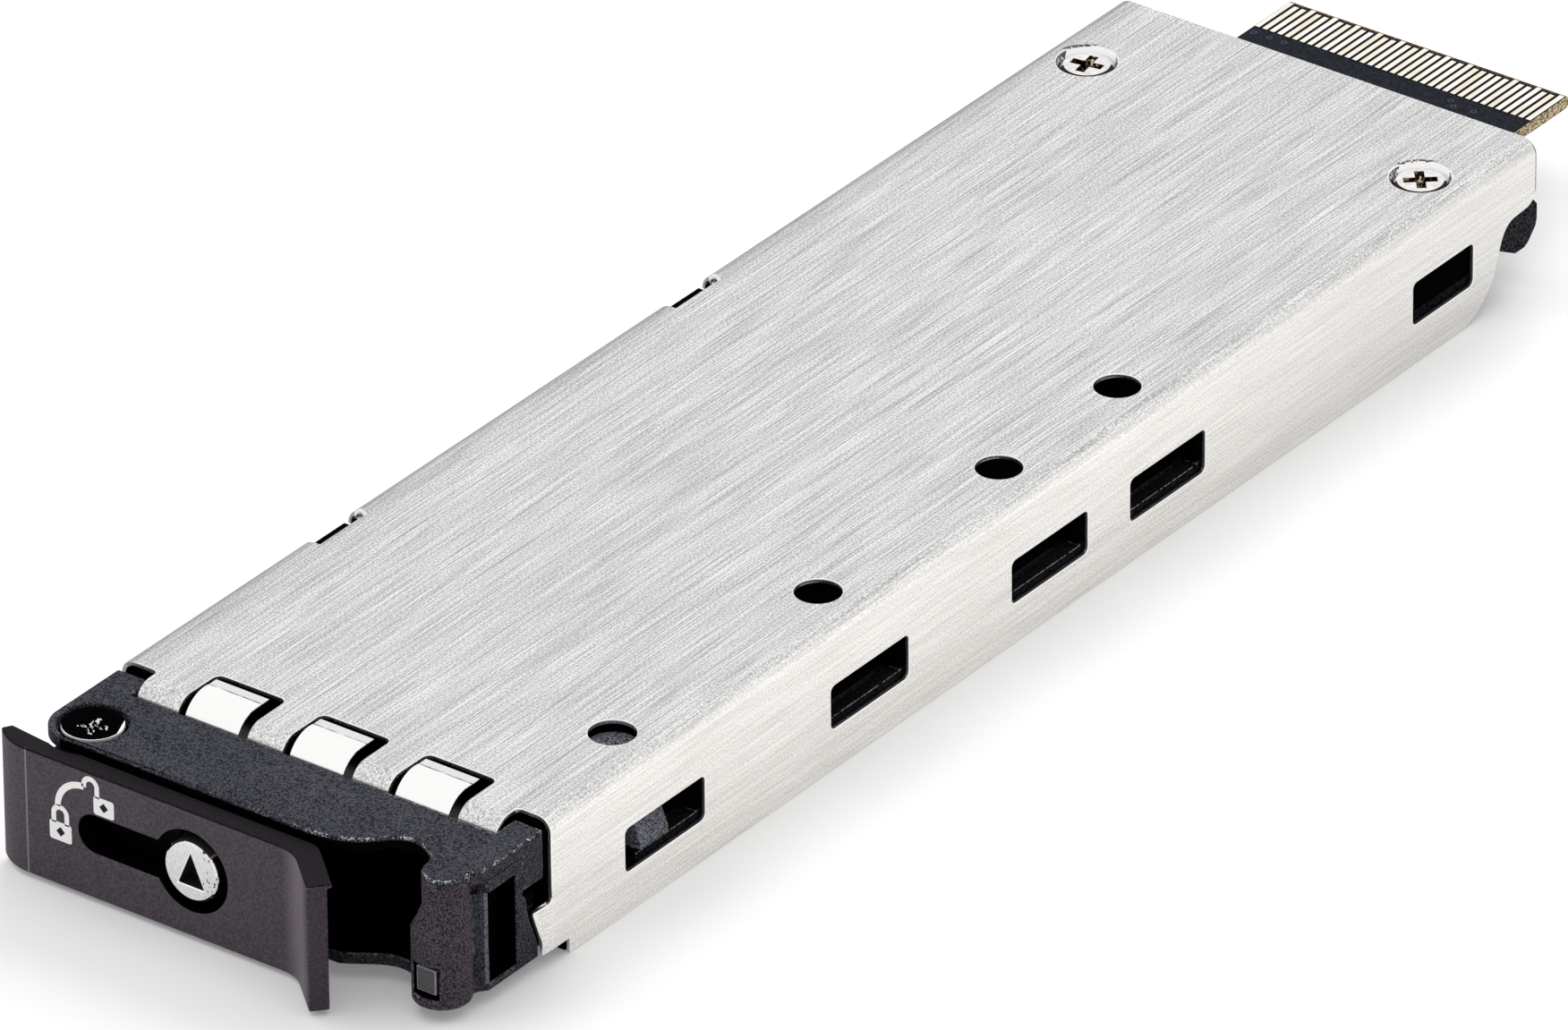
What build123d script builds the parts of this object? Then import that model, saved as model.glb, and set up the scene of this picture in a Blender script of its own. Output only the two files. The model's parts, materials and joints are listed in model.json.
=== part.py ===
from build123d import *
import os
from math import cos, radians, sin

# Carrier tray for a gumstick solid state drive, in millimetres.
# X runs to the right seen from the handle end, Y to the rear, Z up.
# The origin is on the underside of the tray floor, below the middle of the cover.

# the width of the drive's board sets the width of everything round it
drive_half = 11.0
side_room = 4.75
half_width = drive_half + side_room
cover_width = 2 * half_width

# cover: one folded sheet with a rolled front edge
tray_height = 9.75
sheet = 0.3
bend_radius = 1.0
cover_rear = 51.0
rear_edge_low = 5.5
rear_corner = 0.95
sweep_back = (9.0, 6.2, 4.6, 3.9, 3.25, 2.4)
sweep_up = (0.0, 0.55, 2.0, 3.7, 4.95, 5.4)
cover_front = -50.65
wall_front = -48.45
curl_radius = 1.4
curl_left = 2.75 - half_width
curl_right = half_width - 2.4
corner_round = 0.35
side_step_y = -46.8
side_step_height = 1.0
slot_width = 5.1
slot_pitch = 7.7
slot_centre_x = 0.28
slot_rear = -46.65
slot_corner = 0.5
left_notch_length = 4.4
left_notch_depth = 1.35
left_notch_ys = (-29.1, 5.8)
left_notch_floor = tray_height - 2.35
tab_reach = 1.7
tab_lean = 0.1
tab_gap = 0.15
tab_top = 4.2

# length stations of the drive: 80, 60, 42 and 30 mm modules
station_inset = 3.09
station_x = half_width - station_inset
drive_front = -38.5
drive_lengths = (80.0, 60.0, 42.0, 30.0)
drive_rear = drive_front + drive_lengths[0]
station_ys = [drive_rear - length for length in drive_lengths]
station_hole = 2.9
window_length = 7.7
window_height = 2.93
window_corner = 0.4
window_z = 4.17
window_lead = 0.91
rear_window_y = 41.14
rear_window_length = 6.4

# cover screws
screw_y = 43.1
screw_xs = (3.3 - half_width, half_width - 3.15)
dimple_radius = 1.95
dimple_depth = 0.62
screw_head_radius = 1.62
screw_head_height = 0.44
screw_shank_radius = 0.7
screw_length = 6.2
recess_width = 0.42
recess_depth = 0.28
recess_length = 1.9

# tray base: floor and liner walls inside the cover
liner_gap = 0.1
liner_wall = 0.9
floor_thickness = 0.8
liner_top = tray_height - 0.45
liner_front = -48.6
liner_round = 0.85
rear_wall_outer = cover_rear - 0.25
rear_wall = 0.85
rear_ledge = 4.2
horn_reach = cover_rear + 0.7
horn_low = 2.44
horn_high = 4.95
horn_shape = ((2.3, 0.0), (1.3, 0.0), (0.85, 0.25), (0.15, 1.0), (0.0, 1.45))
horn_inner_x = half_width - 4.45
sill_height = 3.2
sill_lead = 0.9
sill_length = 7.0
boss_radius = 1.5
pillar_radius = 2.4
seat_tube_radius = 1.55
seat_bore_radius = 1.0
seat_top = 5.9
seat_shelf_low = 3.4
seat_shelf_front = -3.3
seat_shelf_rear = 5.1
hook_width = 3.7
hook_top = tray_height - 0.65

retainer_head_top = tray_height - 0.85
snap_front = -1.35
snap_width = 2.7
snap_outer = half_width - 0.6
snap_ramp = half_width - 0.13
snap_top = 8.2

# boards
board_half = drive_half - 0.55
board_thickness = 0.8
board_top = 6.25
board_front = 42.0
board_rear = 62.15
board_bevel = 0.2
board_screw_y = 47.3
board_screw_xs = (-7.0, 7.0)
contact_count = 37
contact_margin = 0.22
contact_pitch = 2 * (board_half - contact_margin) / (contact_count - 1)
contact_width = 0.4
contact_front = 58.05
contact_long = 62.0
contact_short = 61.72
contact_thickness = 0.04
tongue_half = drive_half - 1.08
tongue_length = 4.0
half_hole_radius = 1.75
key_x = -6.1
key_width = 1.2
key_depth = 3.5
chip_top = 7.65
pad_half = 8.5
pad_length = 68.0
drive_contact_count = 38
drive_contact_pitch = 2 * (tongue_half - 0.67) / (drive_contact_count - 1)
drive_contact_width = 0.35
drive_contact_length = 2.3

# socket between drive and carrier board
socket_half = drive_half - 0.6
socket_contact_count = 34
socket_front = 37.6
socket_rear = 44.0
socket_low = 4.4
socket_high = 8.0
socket_fit = 0.06

# light pipe
pipe_x = half_width - 2.29
pipe_width = 1.1
pipe_low = 1.9
pipe_height = 1.35
pipe_front = -57.45
pipe_head = 0.15
pipe_frame = 0.4
pipe_frame_rear = -56.9
pipe_turn_y = 35.9
pipe_inner_x = pipe_x - 4.26
pipe_rear = 45.05
pipe_fit = 0.08

# bezel
bezel_top = tray_height - 0.5
bezel_top_low = bezel_top - 0.9
bezel_bottom = 0.95
bezel_bottom_high = 1.75
bezel_left = 0.15 - half_width
bezel_right = half_width - 0.2
bezel_front = -56.9
seam_y = -50.85
ear_rear = -48.95
ear_left = curl_left - 0.15
ear_right = curl_right + 0.15
ear_low = 6.05
side_foot_shape = ((-49.47, 0.0), (-49.47, 0.9), (-49.82, 1.8), (-50.37, 3.3), (-50.5, 4.3))
side_foot_top = 5.6
bezel_wall = 0.85
pocket_shape = ((9.3, 0.0), (7.5, 0.3), (5.8, 1.15), (4.5, 2.4), (3.35, 2.75), (2.2, 2.3), (1.5, 1.5))
sill_shape = ((7.1, 0.0), (5.4, 1.05), (4.2, 1.6), (2.9, 1.55), (1.3, 0.7))
notch_rear = -55.5
notch_room = 0.6
shelf_rear = -46.3
shelf_high = tray_height - 1.75
shelf_low = shelf_high - 0.7
post_x = half_width - 2.05
post_y = -55.75
post_radius = 1.4
post_neck = bezel_top - 2.35
post_foot_x = post_x - 0.2
post_foot_y = -56.0
post_foot_radius = 1.78
post_foot_top = 5.5
side_slot_front = -54.05
side_slot_rear = -51.45
side_slot_low = 1.4
side_slot_top = bezel_top - 1.8
slot_wall = 0.15
flank_top = bezel_top - 1.75
keeper_low = bezel_top_low - 1.3
keeper_width = 3.2
tongue_xs = (4.25 - half_width, half_width - 5.75)
tongue_width = 3.0
tongue_rear = -45.2
tongue_high = 3.0

# contact spring strip
spring_thickness = 0.14
finger_width = 3.9
finger_crown = tray_height + 0.23
finger_crease = -48.3
finger_end = -47.6
finger_front = -50.72

# handle, its pivot and the lock
pivot_x = 2.75 - half_width
pivot_y = -54.6
lug_radius = 2.6
pin_radius = 1.0
pivot_fit = 0.05
pivot_head_radius = 2.05
knuckle_radius = 2.2
arm_left = 1.4
arm_right = 2.1
swing_gap = 0.3
handle_low = 0.3
handle_high = bezel_top - 0.5
handle_face = -58.58
handle_back = -57.52
flange_thickness = 0.32
flange_overhang = 0.28
lip_thickness = 1.22
lip_reach_x = 7.86
lip_reach_y = -61.27
lip_angle = 42
lip_bend = 2.6
crease_x = pivot_x - 1.9
tip_x = pivot_x - 4.5
tip_y = -57.5
tip_bulge = 0.3
lock_x = -2.8
lock_z = 4.65
ring_radius = 2.7
cup_radius = 3.15
cup_floor_front = -56.6
cup_rear = -55.9
boss_rear = -54.85
lock_boss_radius = 2.05
knob_radius = 1.97
knob_depth = 1.7
lock_shaft_radius = 1.1
lock_fit = 0.06
key_slot_left = -11.1
key_slot_height = 2.55
socket_triangle_width = 1.9
socket_triangle_height = 2.2
socket_triangle_depth = 1.2
cam_front = -54.65
cam_thickness = 0.75
cam_reach = 3.1
cam_width = 1.8
clip_radius = 1.6
clip_thickness = 0.4

liner_outer = cover_width / 2 - sheet - liner_gap
liner_inner = liner_outer - liner_wall
board_low = board_top - board_thickness
sheet_low = tray_height - sheet
slot_xs = [slot_centre_x + slot_pitch * step for step in (-1, 0, 1)]


def block(x0, x1, y0, y1, z0, z1, mode=Mode.ADD):
    with Locations(((x0 + x1) / 2, (y0 + y1) / 2, (z0 + z1) / 2)):
        Box(x1 - x0, y1 - y0, z1 - z0, mode=mode)


def upright(x, y, z0, z1, radius, mode=Mode.ADD):
    with Locations((x, y, (z0 + z1) / 2)):
        Cylinder(radius, z1 - z0, mode=mode)


def save(part, label):
    part.part.label = label
    export_step(part.part, "parts/" + label + ".step")


os.makedirs("parts", exist_ok=True)

# the rear end of the tray sweeps up in the side view
rear_sweep = [(cover_rear - back, up) for back, up in zip(sweep_back, sweep_up)]

with BuildPart() as cover:
    with BuildSketch(Plane.XZ.offset(-cover_rear)):
        Rectangle(cover_width, tray_height, align=(Align.CENTER, Align.MIN))
        fillet(vertices().group_by(Axis.Y)[-1], bend_radius)
    extrude(amount=cover_rear - wall_front)
    with BuildSketch(Plane.XZ.offset(-cover_rear - 1)):
        Rectangle(cover_width - 2 * sheet, sheet_low, align=(Align.CENTER, Align.MIN))
        fillet(vertices().group_by(Axis.Y)[-1], bend_radius - sheet)
    extrude(amount=cover_rear - wall_front + 2, mode=Mode.SUBTRACT)
    # side walls follow the sweep at the rear and step up at the front
    with BuildSketch(Plane.YZ.offset(-cover_width)):
        with BuildLine():
            Spline(*rear_sweep)
            Line(rear_sweep[-1], (cover_rear - rear_corner, rear_edge_low))
            ThreePointArc((cover_rear - rear_corner, rear_edge_low),
                          (cover_rear - rear_corner / 3, rear_edge_low + rear_corner / 3),
                          (cover_rear, rear_edge_low + rear_corner))
            Polyline((cover_rear, rear_edge_low + rear_corner), (cover_rear + 3, rear_edge_low + rear_corner),
                     (cover_rear + 3, -1), (rear_sweep[0][0], -1), rear_sweep[0])
        make_face()
    extrude(amount=2 * cover_width, mode=Mode.SUBTRACT)
    block(-cover_width, cover_width, wall_front - 1, side_step_y, -1, side_step_height, Mode.SUBTRACT)
    # rolled front edge between the two corners
    with BuildSketch(Plane.YZ.offset(curl_left)):
        with BuildLine():
            roll = (cover_front + curl_radius, tray_height - curl_radius)
            Line((wall_front, tray_height), (roll[0], tray_height))
            CenterArc(roll, curl_radius, 90, 90)
            Line((cover_front, roll[1]), (cover_front + sheet, roll[1]))
            CenterArc(roll, curl_radius - sheet, 180, -90)
            Line((roll[0], sheet_low), (wall_front, sheet_low))
            Line((wall_front, sheet_low), (wall_front, tray_height))
        make_face()
    extrude(amount=curl_right - curl_left)
    corners = [edge for edge in edges().filter_by(Axis.Z) if abs(edge.center().Y - wall_front) < 0.01
               and abs(edge.center().X) < half_width - bend_radius and edge.center().Z > sheet_low]
    fillet(corners, corner_round)
    # slots for the contact fingers
    with BuildSketch(Plane.XY.offset(tray_height + 1)):
        for x in slot_xs:
            with Locations((x, slot_rear)):
                Rectangle(slot_width, slot_rear - cover_front + 1, align=(Align.CENTER, Align.MAX))
        fillet(vertices().group_by(Axis.Y)[-1], slot_corner)
    extrude(amount=-curl_radius - 3, mode=Mode.SUBTRACT)
    # station holes, and one window in the right wall beside each
    with BuildSketch(Plane.XY.offset(tray_height + 1)):
        for y in station_ys:
            with Locations((station_x, y)):
                Circle(station_hole / 2)
    extrude(amount=-2, mode=Mode.SUBTRACT)
    with BuildSketch(Plane.YZ.offset(cover_width / 2 - 1)):
        for y in station_ys:
            with Locations((y + window_lead, window_z)):
                RectangleRounded(window_length, window_height, window_corner)
        with Locations((rear_window_y, window_z)):
            RectangleRounded(rear_window_length, window_height, window_corner)
    extrude(amount=2, mode=Mode.SUBTRACT)
    # notches where the liner hooks take the left bend
    for y in left_notch_ys:
        block(-cover_width, left_notch_depth - cover_width / 2, y - left_notch_length / 2,
              y + left_notch_length / 2, left_notch_floor, tray_height + 1, Mode.SUBTRACT)
    # dimples for the two flush screws
    for x in screw_xs:
        upright(x, screw_y, sheet_low - 1, tray_height + 1, dimple_radius, Mode.SUBTRACT)
        with BuildSketch(Plane(origin=(x, screw_y, 0), x_dir=(1, 0, 0), z_dir=(0, -1, 0))):
            with BuildLine():
                Polyline((dimple_radius + 0.25, tray_height), (dimple_radius, tray_height),
                         (screw_head_radius, tray_height - dimple_depth),
                         (screw_shank_radius + 0.15, tray_height - dimple_depth),
                         (screw_shank_radius + 0.15, sheet_low - dimple_depth),
                         (screw_head_radius + 0.1, sheet_low - dimple_depth),
                         (dimple_radius + 0.25, sheet_low), (dimple_radius + 0.25, tray_height))
            make_face()
        revolve(axis=Axis((x, screw_y, 0), (0, 0, 1)))
    # two small tabs lean inward beside the bezel
    with BuildSketch(Plane.XY.offset(side_step_height)):
        for side in (-1, 1):
            edge = side * cover_width / 2
            with BuildLine():
                Polyline((edge, wall_front + 0.1), (edge - side * tab_lean, wall_front - tab_reach),
                         (edge - side * (tab_lean + sheet), wall_front - tab_reach + 0.15),
                         (edge - side * sheet, wall_front + 0.1), (edge, wall_front + 0.1))
            make_face()
    extrude(amount=tab_top - side_step_height)
    roots = [edge for edge in edges().filter_by(Axis.X) if abs(edge.center().Y - wall_front) < 0.01
             and abs(edge.center().Z - tab_top) < 0.01]
    fillet(roots, corner_round)
    # each tab is cut back along the foot of the bezel
    with BuildSketch(Plane.YZ.offset(-cover_width)):
        with BuildLine():
            foot = [(y + tab_gap, bezel_bottom + up) for y, up in side_foot_shape]
            Polyline((foot[0][0], -1), *foot, (foot[-1][0], tab_top + 1), (seam_y - 1, tab_top + 1),
                     (seam_y - 1, -1), (foot[0][0], -1))
        make_face()
    extrude(amount=2 * cover_width, mode=Mode.SUBTRACT)
save(cover, "cover")

with BuildPart() as tray_base:
    with BuildSketch(Plane.YZ.offset(-liner_outer)):
        with BuildLine():
            Spline(*rear_sweep[:4])
            horn = [(horn_reach - back, horn_low + up) for back, up in horn_shape]
            Polyline(rear_sweep[3], *horn, (horn_reach, horn_high),
                     (rear_wall_outer, horn_high + 1.0), (rear_wall_outer, liner_top),
                     (liner_front, liner_top), (liner_front, side_step_height),
                     (side_step_y, side_step_height), (side_step_y, 0), rear_sweep[0])
        make_face()
    extrude(amount=2 * liner_outer)
    fillet(edges().filter_by(Axis.Y).group_by(Axis.Z)[-1], liner_round)
    with BuildSketch(Plane.YZ.offset(-liner_inner)):
        with BuildLine():
            Polyline((liner_front - 1, side_step_height + floor_thickness),
                     (side_step_y - 0.4, side_step_height + floor_thickness),
                     (side_step_y + 0.8, floor_thickness), (rear_sweep[0][0], floor_thickness),
                     (rear_sweep[1][0] - 0.4, floor_thickness + 0.5),
                     (rear_sweep[2][0] - 0.7, floor_thickness + 1.7), (rear_sweep[3][0] - 0.6, rear_ledge),
                     (rear_wall_outer - rear_wall, rear_ledge), (rear_wall_outer - rear_wall, tray_height + 1),
                     (liner_front - 1, tray_height + 1), (liner_front - 1, side_step_height + floor_thickness))
        make_face()
    extrude(amount=2 * liner_inner, mode=Mode.SUBTRACT)
    # the horns stay at the two sides only, and the board leaves through a slot
    block(-horn_inner_x, horn_inner_x, rear_wall_outer, horn_reach + 1, -1, liner_top + 1, Mode.SUBTRACT)
    block(-board_half - 0.2, board_half + 0.2, rear_wall_outer - 5, horn_reach, board_low - 0.1,
          board_top + 0.2, Mode.SUBTRACT)
    # the liner is cut down to a sill behind every window
    for y in station_ys:
        block(liner_inner - 0.2, liner_outer + 1, y + sill_lead - sill_length / 2,
              y + sill_lead + sill_length / 2, sill_height, liner_top + 1, Mode.SUBTRACT)
    # a shelf and a seat tube for the drive retainer at each station
    for y in station_ys:
        block(station_x - seat_tube_radius, liner_inner - 0.1, y + seat_shelf_front, y + seat_shelf_rear,
              seat_shelf_low, seat_shelf_low + 0.6)
        for end in (seat_shelf_front, seat_shelf_rear - 0.6):
            block(liner_inner - 0.2, liner_inner + 0.2, y + end, y + end + 0.6, seat_shelf_low,
                  seat_shelf_low + 0.6)
        upright(station_x, y, seat_shelf_low, seat_top, seat_tube_radius)
        upright(station_x, y, seat_shelf_low - 0.1, seat_top + 0.1, seat_bore_radius, Mode.SUBTRACT)
        block(-liner_outer, -liner_inner + 0.1, y - 1.4, y + 1.4, 6.2, liner_top + 1, Mode.SUBTRACT)
        upright(0, y, floor_thickness / 2, board_low - 0.02, pillar_radius)
    # bosses for the cover screws
    for x in screw_xs:
        upright(x, screw_y, floor_thickness / 2, sheet_low - dimple_depth, boss_radius)
        upright(x, screw_y, sheet_low - dimple_depth, tray_height, dimple_radius + 0.4, Mode.SUBTRACT)
        upright(x, screw_y, tray_height - screw_length - 0.5, tray_height, screw_shank_radius, Mode.SUBTRACT)
    # pillars and screw bores below the carrier board
    for x in board_screw_xs:
        upright(x, board_screw_y, rear_ledge - 0.1, board_low - 0.02, 1.4)
        upright(x, board_screw_y, rear_ledge + 0.2, board_low + 0.5, 0.5, Mode.SUBTRACT)
    # hooks on the left wall reach up into the notches of the cover
    for y in left_notch_ys:
        block(-liner_outer - liner_gap - sheet, -liner_inner, y - hook_width / 2, y + hook_width / 2,
              left_notch_floor + 0.3, hook_top)
    # floor lip that the bezel closes onto
    block(-liner_inner + 0.3, liner_inner - 0.3, seam_y + 0.1, liner_front + 0.1, side_step_height,
          side_step_height + floor_thickness)
save(tray_base, "tray_base")

with BuildPart() as front_bezel:
    # top plate: lug round the pivot, finger pocket, post head and the two ears
    pocket = [(post_x - left, bezel_front + behind) for left, behind in pocket_shape]
    with BuildSketch(Plane.XY.offset(bezel_top_low)):
        with BuildLine():
            Spline(*pocket, tangents=((1, 0), (0.35, -1)))
            Polyline(pocket[-1], (post_x, post_y), (bezel_right - 0.45, post_y + 0.45),
                     (bezel_right, post_y + 1.25), (bezel_right, ear_rear), (ear_right, ear_rear),
                     (ear_right, seam_y), (ear_left, seam_y), (ear_left, ear_rear),
                     (bezel_left, ear_rear), (bezel_left, pivot_y))
            ThreePointArc((bezel_left, pivot_y), (pivot_x - lug_radius * sin(radians(45)),
                          pivot_y - lug_radius * cos(radians(45))), (pivot_x, bezel_front))
            Line((pivot_x, bezel_front), pocket[0])
        make_face()
        with Locations((post_x, post_y)):
            Circle(post_radius)
    extrude(amount=bezel_top - bezel_top_low)
    # bottom plate with a shallower pocket, and a notch for the cup of the lock
    sill = [(post_x - left, bezel_front + behind) for left, behind in sill_shape]
    notch_left = lock_x - cup_radius - notch_room
    notch_right = lock_x + cup_radius + notch_room
    with BuildSketch(Plane.XY.offset(bezel_bottom)):
        with BuildLine():
            Spline(*sill)
            Polyline(sill[-1], (post_x, post_y), (bezel_right - 0.65, post_y + 0.45),
                     (bezel_right - 0.2, post_y + 1.75), (bezel_right - 0.2, seam_y),
                     (bezel_left + 0.2, seam_y), (bezel_left + 0.2, pivot_y))
            ThreePointArc((bezel_left + 0.2, pivot_y), (pivot_x - 1.7, pivot_y - 1.7),
                          (pivot_x, bezel_front))
            Polyline((pivot_x, bezel_front), (notch_left, bezel_front), (notch_left, notch_rear),
                     (notch_right, notch_rear), (notch_right, bezel_front), sill[0])
        make_face()
    extrude(amount=bezel_bottom_high - bezel_bottom)
    # rear wall, side walls and the spring shelf behind the seam
    block(bezel_left + 0.2, bezel_right - 0.2, seam_y - bezel_wall, seam_y, bezel_bottom, bezel_top_low)
    block(bezel_left, bezel_left + 1.0, seam_y - 1.3, seam_y, bezel_bottom, bezel_top)
    block(post_x - 0.5, bezel_right - 0.05, side_slot_front - slot_wall, seam_y, bezel_bottom, bezel_top_low)
    block(curl_left + 0.4, curl_right - 0.4, seam_y, shelf_rear, shelf_low, shelf_high)
    for x0, x1 in ((bezel_left, bezel_left + 0.55), (bezel_right - 0.55, bezel_right)):
        block(x0, x1, seam_y, ear_rear, ear_low, bezel_top)
    # low on the right side the wall runs on behind the seam in a curved foot
    with BuildSketch(Plane.YZ.offset(post_x + 0.45)):
        with BuildLine():
            foot = [(y, bezel_bottom + up) for y, up in side_foot_shape]
            Line(foot[0], foot[1])
            Spline(*foot[1:])
            Polyline(foot[-1], (seam_y + 0.2, side_foot_top), (seam_y - 0.1, side_foot_top),
                     (seam_y - 0.1, bezel_bottom), foot[0])
        make_face()
    extrude(amount=bezel_right - 0.05 - post_x - 0.45)
    # slanting flank between the post and the deep slot in the right side
    with BuildSketch(Plane.XY.offset(bezel_bottom)):
        with BuildLine():
            Polyline((post_x + 0.2, post_y + 0.55), (post_x + 1.05, post_y + 0.7),
                     (bezel_right - 0.05, side_slot_front - slot_wall), (post_x + 0.2, side_slot_front),
                     (post_x + 0.2, post_y + 0.55))
        make_face()
    extrude(amount=flank_top - bezel_bottom)
    block(post_x + 0.5, bezel_right + 1, side_slot_front, side_slot_rear, side_slot_low,
          side_slot_top, Mode.SUBTRACT)
    # the corner post swells into a foot that holds the end of the light pipe
    block(post_x - 1.0, post_x + 0.9, post_y + 0.15, post_y + 1.85, bezel_bottom, bezel_top_low)
    upright(post_x, post_y, post_neck, bezel_top, post_radius)
    upright(post_foot_x, post_foot_y, bezel_bottom - 0.1, post_foot_top, post_foot_radius)
    with BuildSketch(Plane.XY.offset(post_foot_top)):
        with Locations((post_foot_x, post_foot_y)):
            Circle(post_foot_radius)
    with BuildSketch(Plane.XY.offset(post_neck)):
        with Locations((post_x, post_y)):
            Circle(post_radius)
    loft()
    # channel for the light pipe, and the wider frame of its window
    pipe_high = pipe_low + pipe_height
    for room, rear in ((pipe_fit, side_foot_shape[0][0] + 1), (pipe_frame, pipe_frame_rear)):
        block(pipe_x - pipe_width / 2 - room, pipe_x + pipe_width / 2 + room, bezel_front - 2, rear, pipe_low - room,
              pipe_high + room, Mode.SUBTRACT)
    # recess and bores for the pivot screw
    upright(pivot_x, pivot_y, bezel_top - 0.5, bezel_top + 0.5, pivot_head_radius + 0.12, Mode.SUBTRACT)
    upright(pivot_x, pivot_y, bezel_bottom - 1, bezel_top + 1, pin_radius, Mode.SUBTRACT)
    # keeper rib for the lock cam
    block(lock_x - keeper_width / 2, lock_x + keeper_width / 2, cup_rear + swing_gap, cam_front - swing_gap,
          keeper_low, bezel_top_low + 0.2)
    # tongues that clip over the floor of the tray
    for x in tongue_xs:
        block(x - tongue_width / 2, x + tongue_width / 2, seam_y - 0.1, tongue_rear,
              side_step_height + floor_thickness + 0.02, tongue_high)
save(front_bezel, "front_bezel")

with BuildPart() as contact_spring:
    block(curl_left + 0.5, curl_right - 0.5, finger_front + 0.55, shelf_rear + 0.3, shelf_high,
          shelf_high + spring_thickness)
    base_line = shelf_high + spring_thickness / 2
    for x in slot_xs:
        with BuildSketch(Plane.YZ.offset(x - finger_width / 2)):
            with BuildLine():
                Line((finger_front + 0.7, base_line), (finger_front + 0.35, base_line))
                Line((finger_front + 0.35, base_line), (finger_front, base_line + 0.35))
                ThreePointArc((finger_front, base_line + 0.35),
                              (finger_front + 0.62, finger_crown - 0.48), (finger_crease, finger_crown))
                Line((finger_crease, finger_crown), (finger_end, finger_crown))
            trace(line_width=spring_thickness)
        extrude(amount=finger_width)
save(contact_spring, "contact_spring")

for number, x in enumerate(screw_xs, 1):
    with BuildPart() as screw:
        low = tray_height - dimple_depth
        upright(x, screw_y, low, low + screw_head_height, screw_head_radius)
        chamfer(edges().group_by(Axis.Z)[-1], 0.12)
        upright(x, screw_y, tray_height - screw_length, low, screw_shank_radius - 0.02)
        with BuildSketch(Plane.XY.offset(low + screw_head_height)):
            with Locations(Location((x, screw_y), 45)):
                Rectangle(recess_length, recess_width)
                Rectangle(recess_width, recess_length)
        extrude(amount=-recess_depth, mode=Mode.SUBTRACT)
    save(screw, "cover_screw_" + str(number))

with BuildPart() as carrier_board:
    block(-board_half, board_half, board_front, board_rear, board_low, board_top)
    chamfer(edges().filter_by(Axis.X).group_by(Axis.Y)[-1], board_bevel)
    for x in board_screw_xs:
        upright(x, board_screw_y, board_low - 1, board_top + 1, 0.7, Mode.SUBTRACT)
save(carrier_board, "carrier_board")

for number, x in enumerate(board_screw_xs, 1):
    with BuildPart() as board_screw:
        upright(x, board_screw_y, board_top, board_top + 0.6, 1.2)
        upright(x, board_screw_y, 4.45, board_top, 0.48)
        with BuildSketch(Plane.XY.offset(board_top + 0.6)):
            with Locations((x, board_screw_y)):
                Rectangle(1.3, 0.3)
                Rectangle(0.3, 1.3)
        extrude(amount=-0.3, mode=Mode.SUBTRACT)
    save(board_screw, "board_screw_" + str(number))

short_of_pattern = (27,)
for label, low in (("edge_contacts_top", board_top), ("edge_contacts_bottom", board_low - contact_thickness)):
    with BuildPart() as contacts:
        with BuildSketch(Plane.XY.offset(low)):
            for index in range(contact_count):
                long = index % 3 == 0 and index not in short_of_pattern
                end = contact_long - board_bevel if long else contact_short - board_bevel
                x = (index - (contact_count - 1) / 2) * contact_pitch
                with Locations((x, contact_front)):
                    Rectangle(contact_width, end - contact_front, align=(Align.CENTER, Align.MIN))
        extrude(amount=contact_thickness)
    save(contacts, label)

with BuildPart() as drive_socket:
    block(-socket_half, socket_half, socket_front, socket_rear, socket_low, socket_high)
    chamfer(edges().filter_by(Axis.X).group_by(Axis.Z)[-1], 0.4)
    block(-tongue_half - 0.08, tongue_half + 0.08, socket_front - 1, drive_rear + socket_fit,
          board_low - socket_fit, board_top + socket_fit, Mode.SUBTRACT)
    block(-socket_half - 1, socket_half + 1, board_front - socket_fit, socket_rear + 1,
          board_low - socket_fit, board_top + socket_fit, Mode.SUBTRACT)
    block(key_x - key_width / 2 + 0.1, key_x + key_width / 2 - 0.1, drive_rear - 3.0, drive_rear + 0.2,
          board_low - 0.3, board_top + 0.3)
save(drive_socket, "drive_socket")

with BuildPart() as socket_contacts:
    for index in range(socket_contact_count):
        x = (index - (socket_contact_count - 1) / 2) * drive_contact_pitch
        if abs(x - key_x) > key_width:
            block(x - 0.11, x + 0.11, socket_rear, socket_rear + 1.2, board_top, board_top + 0.25)
save(socket_contacts, "socket_contacts")

with BuildPart() as drive_board:
    block(-drive_half, drive_half, drive_front, drive_rear - tongue_length, board_low, board_top)
    block(-tongue_half, tongue_half, drive_rear - tongue_length - 0.1, drive_rear, board_low, board_top)
    upright(0, drive_front, board_low - 1, board_top + 1, half_hole_radius, Mode.SUBTRACT)
    with BuildSketch(Plane.XY.offset(board_top + 1)):
        with Locations((key_x, drive_rear + 1)):
            Rectangle(key_width, key_depth + 1, align=(Align.CENTER, Align.MAX))
        fillet(vertices().group_by(Axis.Y)[0], key_width / 2 - 0.02)
    extrude(amount=-3, mode=Mode.SUBTRACT)
save(drive_board, "drive_board")

with BuildPart() as drive_contacts:
    with BuildSketch(Plane.XY.offset(board_top)):
        for index in range(drive_contact_count):
            x = (index - (drive_contact_count - 1) / 2) * drive_contact_pitch
            if abs(x - key_x) > key_width / 2 + 0.25:
                with Locations((x, drive_rear - 0.3)):
                    Rectangle(drive_contact_width, drive_contact_length, align=(Align.CENTER, Align.MAX))
    extrude(amount=contact_thickness)
save(drive_contacts, "drive_contacts")

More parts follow.
